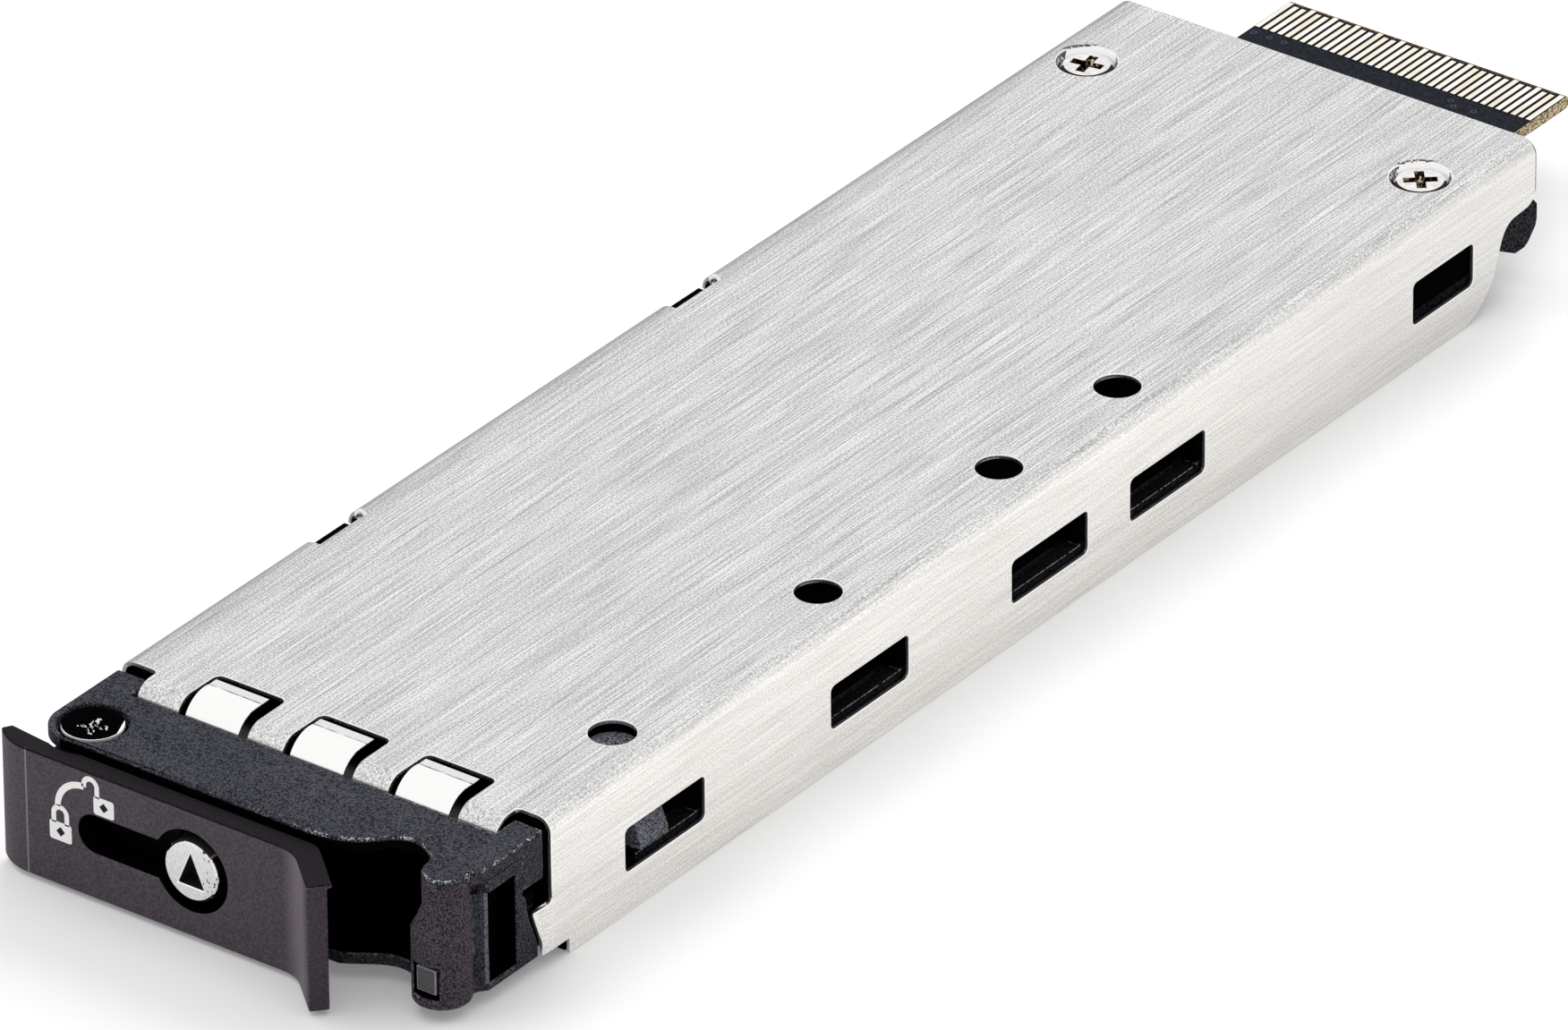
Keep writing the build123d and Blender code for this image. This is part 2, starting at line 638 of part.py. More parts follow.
chips = {
    "drive_controller": (-6.0, 6.0, 21.5, 33.5, chip_top),
    "drive_cache": (-4.0, 4.0, 8.5, 18.5, chip_top - 0.35),
    "drive_memory_1": (-6.0, 6.0, -12.5, 5.5, chip_top),
    "drive_memory_2": (-6.0, 6.0, -33.5, -15.5, chip_top),
    "board_regulator": (-3.5, -0.5, 46.0, 49.0, board_top + 0.9),
    "board_inductor": (1.0, 4.0, 46.0, 49.0, board_top + 1.6),
}
for label, (x0, x1, y0, y1, top) in chips.items():
    with BuildPart() as chip:
        block(x0, x1, y0, y1, board_top, top)
        chamfer(edges().group_by(Axis.Z)[-1], 0.1)
    save(chip, label)

with BuildPart() as thermal_pad:
    block(-pad_half, pad_half, -pad_length / 2, pad_length / 2, chip_top, sheet_low)
    fillet(edges().filter_by(Axis.Z), 0.6)
save(thermal_pad, "thermal_pad")

with BuildPart() as drive_retainer:
    # bar across the drive end, its tongue in the left wall and the round head under the first hole
    y = drive_front
    block(-liner_outer + 0.2, station_x, y - 1.2, y + 1.2, board_top + 0.15, board_top + 1.35)
    block(-4.0, 4.0, y - 2.1, y + 2.1, board_top, board_top + 1.5)
    upright(0, y, board_low, board_top + 0.2, half_hole_radius - 0.1)
    upright(station_x, y, seat_top + 0.02, retainer_head_top, seat_tube_radius)
    upright(station_x, y, 3.9, seat_top + 0.1, seat_bore_radius - 0.03)
    # snap hook that looks out of the first window
    snap = y + snap_front
    block(station_x, snap_outer, snap, snap + snap_width, snap_top - 1.2, snap_top)
    block(snap_outer - 0.6, snap_outer, snap, snap + snap_width, sill_height + 0.2, snap_top)
    with BuildSketch(Plane.XZ.offset(-snap)):
        with BuildLine():
            Polyline((snap_outer - 0.1, sill_height + 2.1), (snap_ramp, sill_height + 0.7),
                     (snap_ramp, sill_height + 0.3), (snap_outer - 0.1, sill_height + 0.2),
                     (snap_outer - 0.1, sill_height + 2.1))
        make_face()
    extrude(amount=-snap_width)
save(drive_retainer, "drive_retainer")

with BuildPart() as status_light:
    block(pipe_inner_x - 0.5, pipe_inner_x + 0.5, pipe_rear - 0.8, pipe_rear + 0.2, board_low - 0.6, board_low)
save(status_light, "status_light")

with BuildPart() as light_pipe:
    pipe_high = pipe_low + pipe_height
    half = pipe_width / 2
    block(pipe_x - half - pipe_head, pipe_x + half + pipe_head, pipe_front, pipe_frame_rear - pipe_fit,
          pipe_low - pipe_head, pipe_high + pipe_head)
    block(pipe_x - half, pipe_x + half, pipe_front, pipe_turn_y + half, pipe_low, pipe_high)
    block(pipe_inner_x - half, pipe_x + half, pipe_turn_y - half, pipe_turn_y + half, pipe_low, pipe_high)
    chamfer(edges().filter_by(Axis.Z).group_by(Axis.Y)[-1].sort_by(Axis.X)[-1], 0.9)
    block(pipe_inner_x - 0.5, pipe_inner_x + 0.5, pipe_turn_y, pipe_rear, pipe_low, pipe_high)
    block(pipe_inner_x - 0.5, pipe_inner_x + 0.5, pipe_rear - 0.9, pipe_rear, pipe_low, board_low - 0.65)
save(light_pipe, "light_pipe")

with BuildPart() as pivot_screw:
    upright(pivot_x, pivot_y, bezel_bottom + 0.2, bezel_top - 0.5, pin_radius)
    upright(pivot_x, pivot_y, bezel_top - 0.5, bezel_top - 0.1, pivot_head_radius)
    chamfer(edges().group_by(Axis.Z)[-1], 0.15)
    upright(pivot_x, pivot_y, bezel_top - 0.35, bezel_top, pivot_head_radius - 0.6, Mode.SUBTRACT)
save(pivot_screw, "pivot_screw")

with BuildPart() as handle:
    lean = radians(lip_angle)
    along = (cos(lean), -sin(lean))
    across = (sin(lean), cos(lean))
    lip_end = (lip_reach_x, lip_reach_y)
    front_run = (handle_face - lip_end[1]) / along[1]
    start = (lip_end[0] + along[0] * front_run, handle_face)
    chord = (crease_x - tip_x, handle_face - tip_y)
    chord_length = (chord[0] ** 2 + chord[1] ** 2) ** 0.5
    bulge = (tip_x + chord[0] / 2 + tip_bulge * chord[1] / chord_length,
             tip_y + chord[1] / 2 - tip_bulge * chord[0] / chord_length)
    # a plate, and a flange along its top edge that stands out behind it
    for deeper, low in ((0, handle_low), (flange_overhang, handle_high - flange_thickness)):
        thickness = lip_thickness + deeper
        back = handle_back + deeper
        lip_back = (lip_end[0] + across[0] * thickness, lip_end[1] + across[1] * thickness)
        back_run = (back - lip_back[1]) / along[1]
        root = (lip_back[0] + along[0] * back_run, back)
        with BuildSketch(Plane.XY.offset(low)):
            with BuildLine():
                ThreePointArc((tip_x, tip_y), bulge, (crease_x, handle_face))
                Polyline((crease_x, handle_face), start, lip_end, lip_back, root,
                         (crease_x + 0.5, back), (tip_x + 0.35, tip_y + 0.45 + deeper / 2), (tip_x, tip_y))
            make_face()
            fillet(vertices().sort_by_distance((start[0], start[1], 0))[0:1], lip_bend)
            fillet(vertices().sort_by_distance((root[0], root[1], 0))[0:1], lip_bend / 2)
        extrude(amount=handle_high - low)
    # the flange is hollowed where it swings past the lug of the bezel
    upright(pivot_x, pivot_y, handle_high - flange_thickness - 0.2, handle_high + 1,
            lug_radius + swing_gap, Mode.SUBTRACT)
    # knuckle on the pivot and the arm that carries it
    arm_low = bezel_bottom_high + swing_gap
    arm_high = bezel_top_low - swing_gap
    upright(pivot_x, pivot_y, arm_low, arm_high, knuckle_radius)
    block(pivot_x - arm_left, pivot_x + arm_right, handle_back - 0.1, pivot_y, arm_low, arm_high)
    upright(pivot_x, pivot_y, arm_low - 1, arm_high + 1, pin_radius + pivot_fit, Mode.SUBTRACT)
    # cup of the lock behind the face, with the key slot to its left
    with BuildSketch(Plane.XZ.offset(-handle_back + 0.1)):
        with Locations((lock_x, lock_z)):
            Circle(cup_radius)
        with Locations(((lock_x + key_slot_left - 0.5) / 2, lock_z)):
            Rectangle(lock_x - key_slot_left + 0.5, key_slot_height + 1.0)
    extrude(amount=handle_back - 0.1 - cup_rear)
    with BuildSketch(Plane.XZ.offset(-handle_back)):
        with Locations((lock_x, lock_z)):
            Circle(lock_boss_radius)
    extrude(amount=handle_back - boss_rear)
    # recess round the knob, key slot, and the bore for the lock shaft
    with BuildSketch(Plane.XZ.offset(-handle_face + 0.5)):
        with Locations((lock_x, lock_z)):
            Circle(ring_radius)
        with Locations(((lock_x + key_slot_left) / 2, lock_z)):
            Rectangle(lock_x - key_slot_left, key_slot_height)
        fillet(vertices().group_by(Axis.X)[0], key_slot_height / 2 - 0.02)
    extrude(amount=handle_face - 0.5 - cup_floor_front, mode=Mode.SUBTRACT)
    with BuildSketch(Plane.XZ.offset(-cup_floor_front)):
        with Locations((lock_x, lock_z)):
            Circle(lock_shaft_radius + lock_fit)
    extrude(amount=cup_floor_front - boss_rear - 1, mode=Mode.SUBTRACT)
    # small stop in the recess, above and to the left of the knob
    with BuildSketch(Plane.XZ.offset(-cup_floor_front)):
        with Locations((lock_x - 1.55, lock_z + 2.15)):
            Circle(0.52)
    extrude(amount=1.3)
save(handle, "handle")

with BuildPart() as lock_knob:
    with BuildSketch(Plane.XZ.offset(-handle_face)):
        with Locations((lock_x, lock_z)):
            Circle(knob_radius)
    extrude(amount=-knob_depth)
    chamfer(edges().group_by(Axis.Y)[0], 0.15)
    with BuildSketch(Plane.XZ.offset(-handle_face - 0.3)):
        with Locations((lock_x, lock_z)):
            Circle(lock_shaft_radius)
    extrude(amount=handle_face + 0.3 - cam_front - cam_thickness - clip_thickness - 0.25)
    with BuildSketch(Plane.XZ.offset(-handle_face)):
        half = socket_triangle_width / 2
        low = lock_z - socket_triangle_height / 2 + 0.1
        with BuildLine():
            Polyline((lock_x - half, low), (lock_x + half, low),
                     (lock_x, low + socket_triangle_height), (lock_x - half, low))
        make_face()
    extrude(amount=-socket_triangle_depth, mode=Mode.SUBTRACT)
save(lock_knob, "lock_knob")

with BuildPart() as lock_cam:
    with BuildSketch(Plane.XZ.offset(-cam_front)):
        with Locations((lock_x, lock_z)):
            Circle(lock_boss_radius - 0.1)
        with Locations((lock_x + cam_reach / 2, lock_z)):
            Rectangle(cam_reach, cam_width)
        fillet(vertices().group_by(Axis.X)[-1], 0.35)
        with Locations((lock_x, lock_z)):
            Circle(lock_shaft_radius, mode=Mode.SUBTRACT)
    extrude(amount=-cam_thickness)
save(lock_cam, "lock_cam")

with BuildPart() as lock_clip:
    with BuildSketch(Plane.XZ.offset(-cam_front - cam_thickness)):
        with Locations((lock_x, lock_z)):
            Circle(clip_radius)
            Circle(lock_shaft_radius, mode=Mode.SUBTRACT)
        with Locations((lock_x, lock_z - clip_radius)):
            Rectangle(0.9, clip_radius * 1.4, mode=Mode.SUBTRACT)
    extrude(amount=-clip_thickness)
save(lock_clip, "lock_clip")
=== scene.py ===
import bpy
import bmesh
import json
from math import cos, pi, radians, sin
from mathutils import Matrix, Vector
from mathutils.bvhtree import BVHTree

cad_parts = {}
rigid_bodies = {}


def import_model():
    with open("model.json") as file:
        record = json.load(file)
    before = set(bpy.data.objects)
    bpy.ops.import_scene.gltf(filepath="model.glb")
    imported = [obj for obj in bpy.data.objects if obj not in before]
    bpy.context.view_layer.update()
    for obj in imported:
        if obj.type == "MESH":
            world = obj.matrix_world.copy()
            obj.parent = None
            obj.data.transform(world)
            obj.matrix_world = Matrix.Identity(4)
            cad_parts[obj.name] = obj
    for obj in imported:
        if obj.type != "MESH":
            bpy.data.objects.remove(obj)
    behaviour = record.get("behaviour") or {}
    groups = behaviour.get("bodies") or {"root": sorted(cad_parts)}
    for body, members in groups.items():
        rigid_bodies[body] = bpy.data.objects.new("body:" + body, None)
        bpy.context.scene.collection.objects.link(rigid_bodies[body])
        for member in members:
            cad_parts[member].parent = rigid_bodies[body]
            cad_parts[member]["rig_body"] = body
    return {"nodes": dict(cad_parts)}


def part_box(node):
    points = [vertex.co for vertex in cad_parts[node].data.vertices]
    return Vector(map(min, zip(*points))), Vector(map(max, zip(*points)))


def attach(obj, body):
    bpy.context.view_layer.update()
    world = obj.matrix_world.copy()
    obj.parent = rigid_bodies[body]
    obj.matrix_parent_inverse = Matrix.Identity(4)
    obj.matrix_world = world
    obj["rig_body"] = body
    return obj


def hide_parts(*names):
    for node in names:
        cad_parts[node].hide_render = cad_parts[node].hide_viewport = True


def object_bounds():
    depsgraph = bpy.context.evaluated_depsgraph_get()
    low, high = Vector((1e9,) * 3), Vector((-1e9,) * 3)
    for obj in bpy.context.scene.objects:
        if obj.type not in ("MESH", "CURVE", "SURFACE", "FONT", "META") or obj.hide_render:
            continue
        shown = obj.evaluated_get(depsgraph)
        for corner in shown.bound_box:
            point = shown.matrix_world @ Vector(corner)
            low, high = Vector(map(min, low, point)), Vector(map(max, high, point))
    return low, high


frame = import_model()
nodes = frame["nodes"]
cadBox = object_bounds()
bodyOf = {node: nodes[node]["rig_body"] for node in nodes}
mm = 0.001
handleFace = -58.58 * mm  # front of the handle plate


def middleOf(node):
    low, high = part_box(node)
    return (low + high) / 2


boardLow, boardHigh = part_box("carrier_board")
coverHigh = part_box("cover")[1]
lockCentre = middleOf("lock_knob")
screwCentres = [middleOf("cover_screw_1"), middleOf("cover_screw_2")]
print("frame loaded,", len(nodes), "nodes")


# a shader socket that can be added, multiplied and compared
class Wire:
    def __init__(self, finish, socket):
        self.finish = finish
        self.socket = socket

    def sum(self, operation, first, second=0.0):
        return self.finish.add("Math", {"operation": operation}, {0: first, 1: second})

    def __add__(self, other):
        return self.sum("ADD", self, other)

    def __radd__(self, other):
        return self.sum("ADD", other, self)

    def __sub__(self, other):
        return self.sum("SUBTRACT", self, other)

    def __rsub__(self, other):
        return self.sum("SUBTRACT", other, self)

    def __mul__(self, other):
        return self.sum("MULTIPLY", self, other)

    def __rmul__(self, other):
        return self.sum("MULTIPLY", other, self)

    def __gt__(self, other):
        return self.sum("GREATER_THAN", self, other)

    def __lt__(self, other):
        return self.sum("LESS_THAN", self, other)

    def __abs__(self):
        return self.sum("ABSOLUTE", self)

    def __pow__(self, power):
        return self.sum("POWER", self, power)

    # 0 at low, 1 at high, and a straight slope between them
    def slope(self, low, high):
        inputs = {"Value": self, "From Min": low, "From Max": high}
        return self.finish.add("MapRange", {"clamp": True}, inputs)

    # the same slope between two limits in millimetres
    def ramp(self, low, high):
        return self.slope(low * mm, high * mm)


# one material and its node tree
class Finish:
    def __init__(self, name, colour=(0.5, 0.5, 0.5), roughness=0.5, metallic=0.0):
        self.material = bpy.data.materials.new(name)
        self.material.use_nodes = True
        self.tree = self.material.node_tree
        self.split = None
        self.shader = self.tree.nodes["Principled BSDF"]
        self.set("Base Color", (*colour, 1.0))
        self.set("Roughness", roughness)
        self.set("Metallic", metallic)

    def set(self, name, value):
        self.plug(self.shader.inputs[name], value)

    def plug(self, socket, value):
        if isinstance(value, Wire):
            self.tree.links.new(value.socket, socket)
        else:
            socket.default_value = value

    def add(self, kind, settings=None, inputs=None, output=0):
        node = self.tree.nodes.new("ShaderNode" + kind)
        for key, value in (settings or {}).items():
            setattr(node, key, value)
        for key, value in (inputs or {}).items():
            self.plug(node.inputs[key], value)
        return Wire(self, node.outputs[output])

    def place(self, scale=(1, 1, 1)):
        point = self.add("TexCoord", output="Object")
        return self.add("Mapping", {}, {"Vector": point, "Scale": scale})

    def axes(self):
        if not self.split:
            split = self.add("SeparateXYZ", {}, {0: self.add("TexCoord", output="Object")})
            self.split = [Wire(self, split.socket.node.outputs[i]) for i in range(3)]
        return self.split

    # 1 between two limits in millimetres on each named axis, 0 outside them
    def within(self, **limits):
        mask = 1.0
        for letter, (low, high) in limits.items():
            axis = self.axes()["xyz".index(letter)]
            mask = mask * (axis > low * mm) * (axis < high * mm)
        return mask

    # distance from an upright line
    def reach(self, x, y):
        across, along = self.axes()[0] - x, self.axes()[1] - y
        return (across * across + along * along) ** 0.5

    # 1 on the faces that carry the named mark
    def marked(self, name):
        return self.add("Attribute", {"attribute_name": name}, output=2)

    def edge(self):
        return self.marked("edge")

    def noise(self, scale, detail=3.0, rough=0.5, vector=None):
        inputs = {"Vector": vector or self.place(), "Scale": scale, "Detail": detail,
                  "Roughness": rough}
        return self.add("TexNoise", {}, inputs)

    def mix(self, factor, first, second):
        ends = [value if isinstance(value, Wire) else (*value, 1.0) for value in (first, second)]
        inputs = {0: factor, 6: ends[0], 7: ends[1]}
        return self.add("Mix", {"data_type": "RGBA"}, inputs, output=2)

    def bump(self, height, distance, strength=1.0):
        inputs = {"Height": height, "Distance": distance, "Strength": strength}
        self.set("Normal", self.add("Bump", {}, inputs))


# layers added up, each with its own share
def weighed(layers, shares):
    total = layers[0] * shares[0]
    for layer, share in zip(layers[1:], shares[1:]):
        total = total + layer * share
    return total


sheetLook = {
    "dark": (0.36, 0.36, 0.36),
    "light": (0.98, 0.98, 0.975),
    "sideSheenDark": (0.63, 0.61, 0.58),
    "sideSheenLight": (0.98, 0.96, 0.93),
    "hair": (21000, 130, 21000),
    "fine": (13000, 180, 13000),
    "broad": (5200, 60, 5200),
    "cloud": 60,
    "grain": 8000,
    "topShares": (0.46, 0.12, 0.02, 0.40),  # of hair, fine, broad and grain
    "sideShares": (0.42, 0.14, 0.02, 0.42),
    "cloudShare": 0.01,
    "topEnds": (0.42, 0.58),
    "sideEnds": (0.41, 0.57),
    "roughness": 0.34,
    "relief": 0.008 * mm,
    # painted highlight on the broken edges
    "rim": (0.96, 0.96, 0.96),
    "bend": (0.5, 0.1),  # mm in from the side face
    "rearFrom": (10, 48),
    "rearShare": 0.30,
    "rearShade": (0.50, 0.50, 0.47),
    # painted shade: a thin dark line on the sides at the rear cut end, and a dark band and line
    # along the left bend
    "cutEnd": 50.88,
    "cut": (0.10, 0.10, 0.095),
    "leftBend": (-13.2, -14.8),
    "leftBendShare": 0.22,
    "leftLine": (-14.75, -15.15),
    "leftLineShare": 0.5,
    "leftAbove": 8.7,
}
dimpleLook = {
    "radius": 1.93,
    "floor": 9.2,
    "wall": (0.93, 0.93, 0.93),
    "wallShare": 0.85,
    "wallBelow": 0.03,
    "dimpleShade": (0.10, 0.09, 0.085),
    "shadeBreak": 5200,
    "shadeNoiseEnds": (0.38, 0.5),
    "endAlong": (0.93, 0.37),  # direction of the two dark ends
    "endFrom": 1.58,
    "lip": 0.3,
    "lipBelow": 0.1,
    "lipFrom": 2.5,
    "lipAbove": 0.46,
}


# painted highlight on the walls of the two dimples, painted shade on their floors and ends, and
# small marks of painted shade on the far lips
def dimpleTone(steel, colour):
    look = dimpleLook
    x, y, z = steel.axes()
    shadeBreak = steel.noise(look["shadeBreak"], 2.0)
    for centre in screwCentres:
        across, along = x - centre.x, y - centre.y
        reach = steel.reach(centre.x, centre.y)
        sunk = (reach < look["radius"] * mm) * (z < coverHigh.z - look["wallBelow"] * mm)
        colour = steel.mix(sunk * look["wallShare"], colour, look["wall"])
        colour = steel.mix(sunk * (z < look["floor"] * mm), colour, look["dimpleShade"])
        end = abs(across * look["endAlong"][0] + along * look["endAlong"][1]) > look["endFrom"] * mm
        colour = steel.mix(sunk * end * shadeBreak.slope(*look["shadeNoiseEnds"]), colour, look["dimpleShade"])
        lip = (reach > look["radius"] * mm) * (reach < (look["radius"] + look["lip"]) * mm)
        lip = lip * (z > coverHigh.z - look["lipBelow"] * mm) * (shadeBreak > look["lipAbove"])
        colour = steel.mix(lip * (along - across > look["lipFrom"] * mm), colour, look["dimpleShade"])
    return colour


def brushedSheet():
    look = sheetLook
    steel = Finish("brushed_sheet", look["light"], look["roughness"], 1.0)
    x, y, z = steel.axes()
    hair = steel.noise(1.0, 2.0, 0.7, steel.place(look["hair"]))
    fine = steel.noise(1.0, 3.0, 0.65, steel.place(look["fine"]))
    broad = steel.noise(1.0, 2.0, 0.5, steel.place(look["broad"]))
    cloud = steel.noise(look["cloud"], 2.0)
    grain = steel.noise(look["grain"], 2.0)
    layers = (hair, fine, broad, grain)
    streak = weighed(layers, look["topShares"])
    clouded = weighed((streak, cloud), (1 - look["cloudShare"], look["cloudShare"]))
    top = steel.mix(clouded.slope(*look["topEnds"]), look["dark"], look["light"])
    # the side faces get their own lighter, warmer tones: a painted reflection over the same brushed
    # grain
    sideTone = weighed(layers, look["sideShares"]).slope(*look["sideEnds"])
    side = abs(x).slope(coverHigh.x - look["bend"][0] * mm, coverHigh.x - look["bend"][1] * mm)
    colour = steel.mix(side, top, steel.mix(sideTone, look["sideSheenDark"], look["sideSheenLight"]))
    # painted shade: the sides turn darker towards the rear
    rear = side * y.ramp(*look["rearFrom"]) * look["rearShare"]
    colour = steel.mix(rear, colour, look["rearShade"])
    # painted highlight on the broken edges of the sheet
    colour = steel.mix(steel.edge(), colour, look["rim"])
    # painted shade: a thin dark line along the rear cut end of the sides
    colour = steel.mix((y > look["cutEnd"] * mm) * side, colour, look["cut"])
    # painted shade: a dark band and a darker line along the top of the left bend
    left = weighed((x.ramp(*look["leftBend"]), x.ramp(*look["leftLine"])),
                   (look["leftBendShare"], look["leftLineShare"]))
    colour = steel.mix(left * (z > look["leftAbove"] * mm), colour, look["cut"])
    steel.set("Base Color", dimpleTone(steel, colour))
    steel.set("Roughness", look["roughness"] - 0.04 + streak * 0.08)
    steel.bump(streak, look["relief"], 0.6)
    return steel


springLook = {
    "crease": -48.3,
    "strip": (0.66, 0.66, 0.66),
    "low": (0.92, 0.92, 0.91),
    "high": (1.0, 1.0, 0.99),
    "draw": (5000, 500, 500),
    "dashes": (1500, 6000, 6000),
    "dashEnds": (0.3, 0.55),
    "creaseShade": (0.10, 0.095, 0.09),
    # painted shade on the parts below this level, under the cover
    "seen": 8.75,
    "fade": 0.15,
    "hidden": (-50.55, -40),
    "dark": (0.012, 0.011, 0.01),
    "relief": 0.006 * mm,
}


# bright fingers and a darker rear strip behind the crease, with painted shade in dashes along the
# crease and on the low parts under the cover
def springSteel():
    look = springLook
    steel = Finish("spring_steel", look["high"], 0.2, 1.0)
    x, y, z = steel.axes()
    draw = steel.noise(1.0, 2.0, 0.5, steel.place(look["draw"]))
    dashes = steel.noise(1.0, 1.0, 0.5, steel.place(look["dashes"]))
    bright = steel.mix(draw, look["low"], look["high"])
    strip = steel.mix(draw, look["strip"], look["low"])
    colour = steel.mix(y > (look["crease"] + 0.03) * mm, bright, strip)
    crease = steel.within(y=(look["crease"] - 0.05, look["crease"] + 0.06))
    colour = steel.mix(crease * dashes.slope(*look["dashEnds"]), colour, look["creaseShade"])
    low = z.ramp(look["seen"], look["seen"] - look["fade"]) * steel.within(y=look["hidden"])
    steel.set("Base Color", steel.mix(low, colour, look["dark"]))
    steel.set("Roughness", 0.16 + draw * 0.12)
    steel.bump(draw, look["relief"])
    return steel


plasticLook = {
    "bezel": {"low": (0.002, 0.003, 0.005), "high": (0.066, 0.067, 0.079),
              "wearSheen": (0.52, 0.52, 0.56), "roughness": 0.5, "specular": 0.02},
    "handle": {"low": (0.056, 0.046, 0.057), "high": (0.098, 0.082, 0.101),
               "wearSheen": (0.40, 0.37, 0.41), "roughness": 0.5, "specular": 0.03},
    "liner": {"low": (0.001, 0.001, 0.001), "high": (0.052, 0.052, 0.060),
              "wearSheen": (0.06, 0.06, 0.065), "roughness": 0.45, "specular": 0.0},
    "retainer": {"low": (0.003, 0.003, 0.005), "high": (0.23, 0.235, 0.275),
                 "wearSheen": (0.15, 0.15, 0.17), "roughness": 0.55, "specular": 0.02},
    "grain": 8600,
    "patch": 220,
    "shares": (0.88, 0.12),  # of grain and patch
    "toneEnds": (0.38, 0.62),
    "speckEnds": (0.48, 0.62),
    "rub": 1100,
    "rubEnds": (0.42, 0.60),
    # pale specks of wear and painted highlight on the edges, strongest to the right and on the top
    # edges where the light falls
    "edgeSpeckX": (0, 6),  # the specks grow from left to right, and upwards
    "edgeSpeckZ": (8.6, 9.1),
    "edgeSpeckLeast": 0.2,
    "relief": 0.04 * mm,
    "black": (0.0006, 0.0006, 0.0007),
}


# moulded plastic: grain, pale specks of wear and painted highlight on the edges, and painted black
# shade where shade says so
def mouldedPlastic(name, key, grain=1.0, shade=None, tint=None):
    shared, look = plasticLook, plasticLook[key]
    plastic = Finish(name, look["high"], look["roughness"])
    x, y, z = plastic.axes()
    fine = plastic.noise(shared["grain"] * grain, 2.0, 0.6)
    patch = plastic.noise(shared["patch"], 3.0)
    rub = plastic.noise(shared["rub"], 2.0)
    tone = weighed((fine, patch), shared["shares"]).slope(*shared["toneEnds"])
    colour = plastic.mix(tone, look["low"], look["high"])
    if tint:
        colour = tint(plastic, colour, fine)
    # pale specks on the broken edges: wear and painted highlight
    speck = fine.slope(*shared["speckEnds"]) * rub.slope(*shared["rubEnds"])
    least = shared["edgeSpeckLeast"]
    for reach in (x.ramp(*shared["edgeSpeckX"]), z.ramp(*shared["edgeSpeckZ"])):
        speck = speck * (reach * (1 - least) + least)
    colour = plastic.mix(plastic.edge() * speck, colour, look["wearSheen"])
    if shade:
        colour = plastic.mix(shade(plastic), colour, shared["black"])
    plastic.set("Base Color", colour)
    plastic.set("Roughness", look["roughness"] - 0.06 + fine * 0.12)
    plastic.set("Specular IOR Level", look["specular"])
    plastic.bump(fine, shared["relief"], 0.7)
    return plastic


shadeBoxes = {
    "pocket": {"x": (-10.5, 12.35), "y": (-56.75, -50.9), "z": (1.735, 9.02)},
    "frontWall": {"x": (-13.6, 11.6), "y": (-57.05, -56.7), "z": (1.735, 9.04)},
    "slot": {"x": (13.9, 15.36), "y": (-54.07, -51.43), "z": (1.38, 7.47)},
    "insides": {"y": (-60, 47.0)},
    "shelf": {"x": (-14.9, 14.9), "y": (-50.84, -44), "z": (0, 8.4)},
    "keySlot": {"x": (-11.12, -2.8), "y": (-58.52, -56.4), "z": (3.3, 6.0)},
    "flange": {"y": (-62, -56), "z": (8.64, 9.0)},
    "lipEnd": {"x": (7.62, 9.5), "y": (-62, -59.2), "z": (0, 8.6)},
    "post": {"x": (11.8, 15.4), "y": (-58, -54.9), "z": (0.9, 8.9)},
    "lens": {"x": (12.50, 14.42), "y": (-58, -56.2), "z": (1.49, 3.64)},
    "slotFrontHighlight": {"x": (15.2, 15.8), "y": (-54.36, -53.95), "z": (1.5, 7.5)},
    "sill": {"x": (13.0, 15.4), "y": (-40, 46), "z": (2.4, 3.32)},
}
shadeLook = {
    "insides": 0.97,
    "sill": 0.3,
    "sillHighlight": (1.0, 1.0, 1.0),
    "sillEnds": (0.44, 0.52),
    "postLow": (0.012, 0.009, 0.013),
    "postHigh": (0.098, 0.082, 0.101),
    "slotFrontHighlight": (0.15, 0.15, 0.17),
    "slotEnds": (0.3, 0.5),
    "cup": 2.75,
    "flange": 0.88,
    "lipEnd": 0.28,
    # painted highlights on the handle: the band where the lip turns out and the crease at the hinge
    # end
    "sweep": {"tone": (0.19, 0.165, 0.19), "share": 0.6, "rise": (4.0, 5.2), "fall": (7.5, 6.6),
              "y": -58.5, "z": 8.62},
    "crease": {"tone": (0.22, 0.20, 0.225), "x": -14.9, "half": (0.09, 0.03), "y": -58.4},
}


# 1 inside the named box, 0 outside it
def boxed(plastic, name):
    return plastic.within(**shadeBoxes[name])


# painted black shade in the finger pocket, behind the front wall, in the side slot, on the shelf
# and around the lens
def bezelShade(plastic):
    names = ("pocket", "frontWall", "slot", "shelf", "lens")
    return sum(boxed(plastic, name) for name in names).slope(0, 1)


# the post in its own purple-grey, and a painted highlight on the front edge of the side slot
def bezelTintAndHighlight(plastic, colour, fine):
    tone = fine.slope(*plasticLook["toneEnds"])
    post = plastic.mix(tone, shadeLook["postLow"], shadeLook["postHigh"])
    colour = plastic.mix(boxed(plastic, "post"), colour, post)
    edge = boxed(plastic, "slotFrontHighlight") * fine.slope(*shadeLook["slotEnds"])
    return plastic.mix(edge, colour, shadeLook["slotFrontHighlight"])


# a painted highlight: a pale broken line on the edge of the sill below each window
def linerHighlight(plastic, colour, fine):
    line = plastic.edge() * boxed(plastic, "sill") * fine.slope(*shadeLook["sillEnds"])
    return plastic.mix(line, colour, shadeLook["sillHighlight"])


# painted black shade inside the tray, weaker on the sills below the windows
def linerShade(plastic):
    lit = 1.0 - boxed(plastic, "sill") * shadeLook["sill"]
    return boxed(plastic, "insides") * lit * shadeLook["insides"]


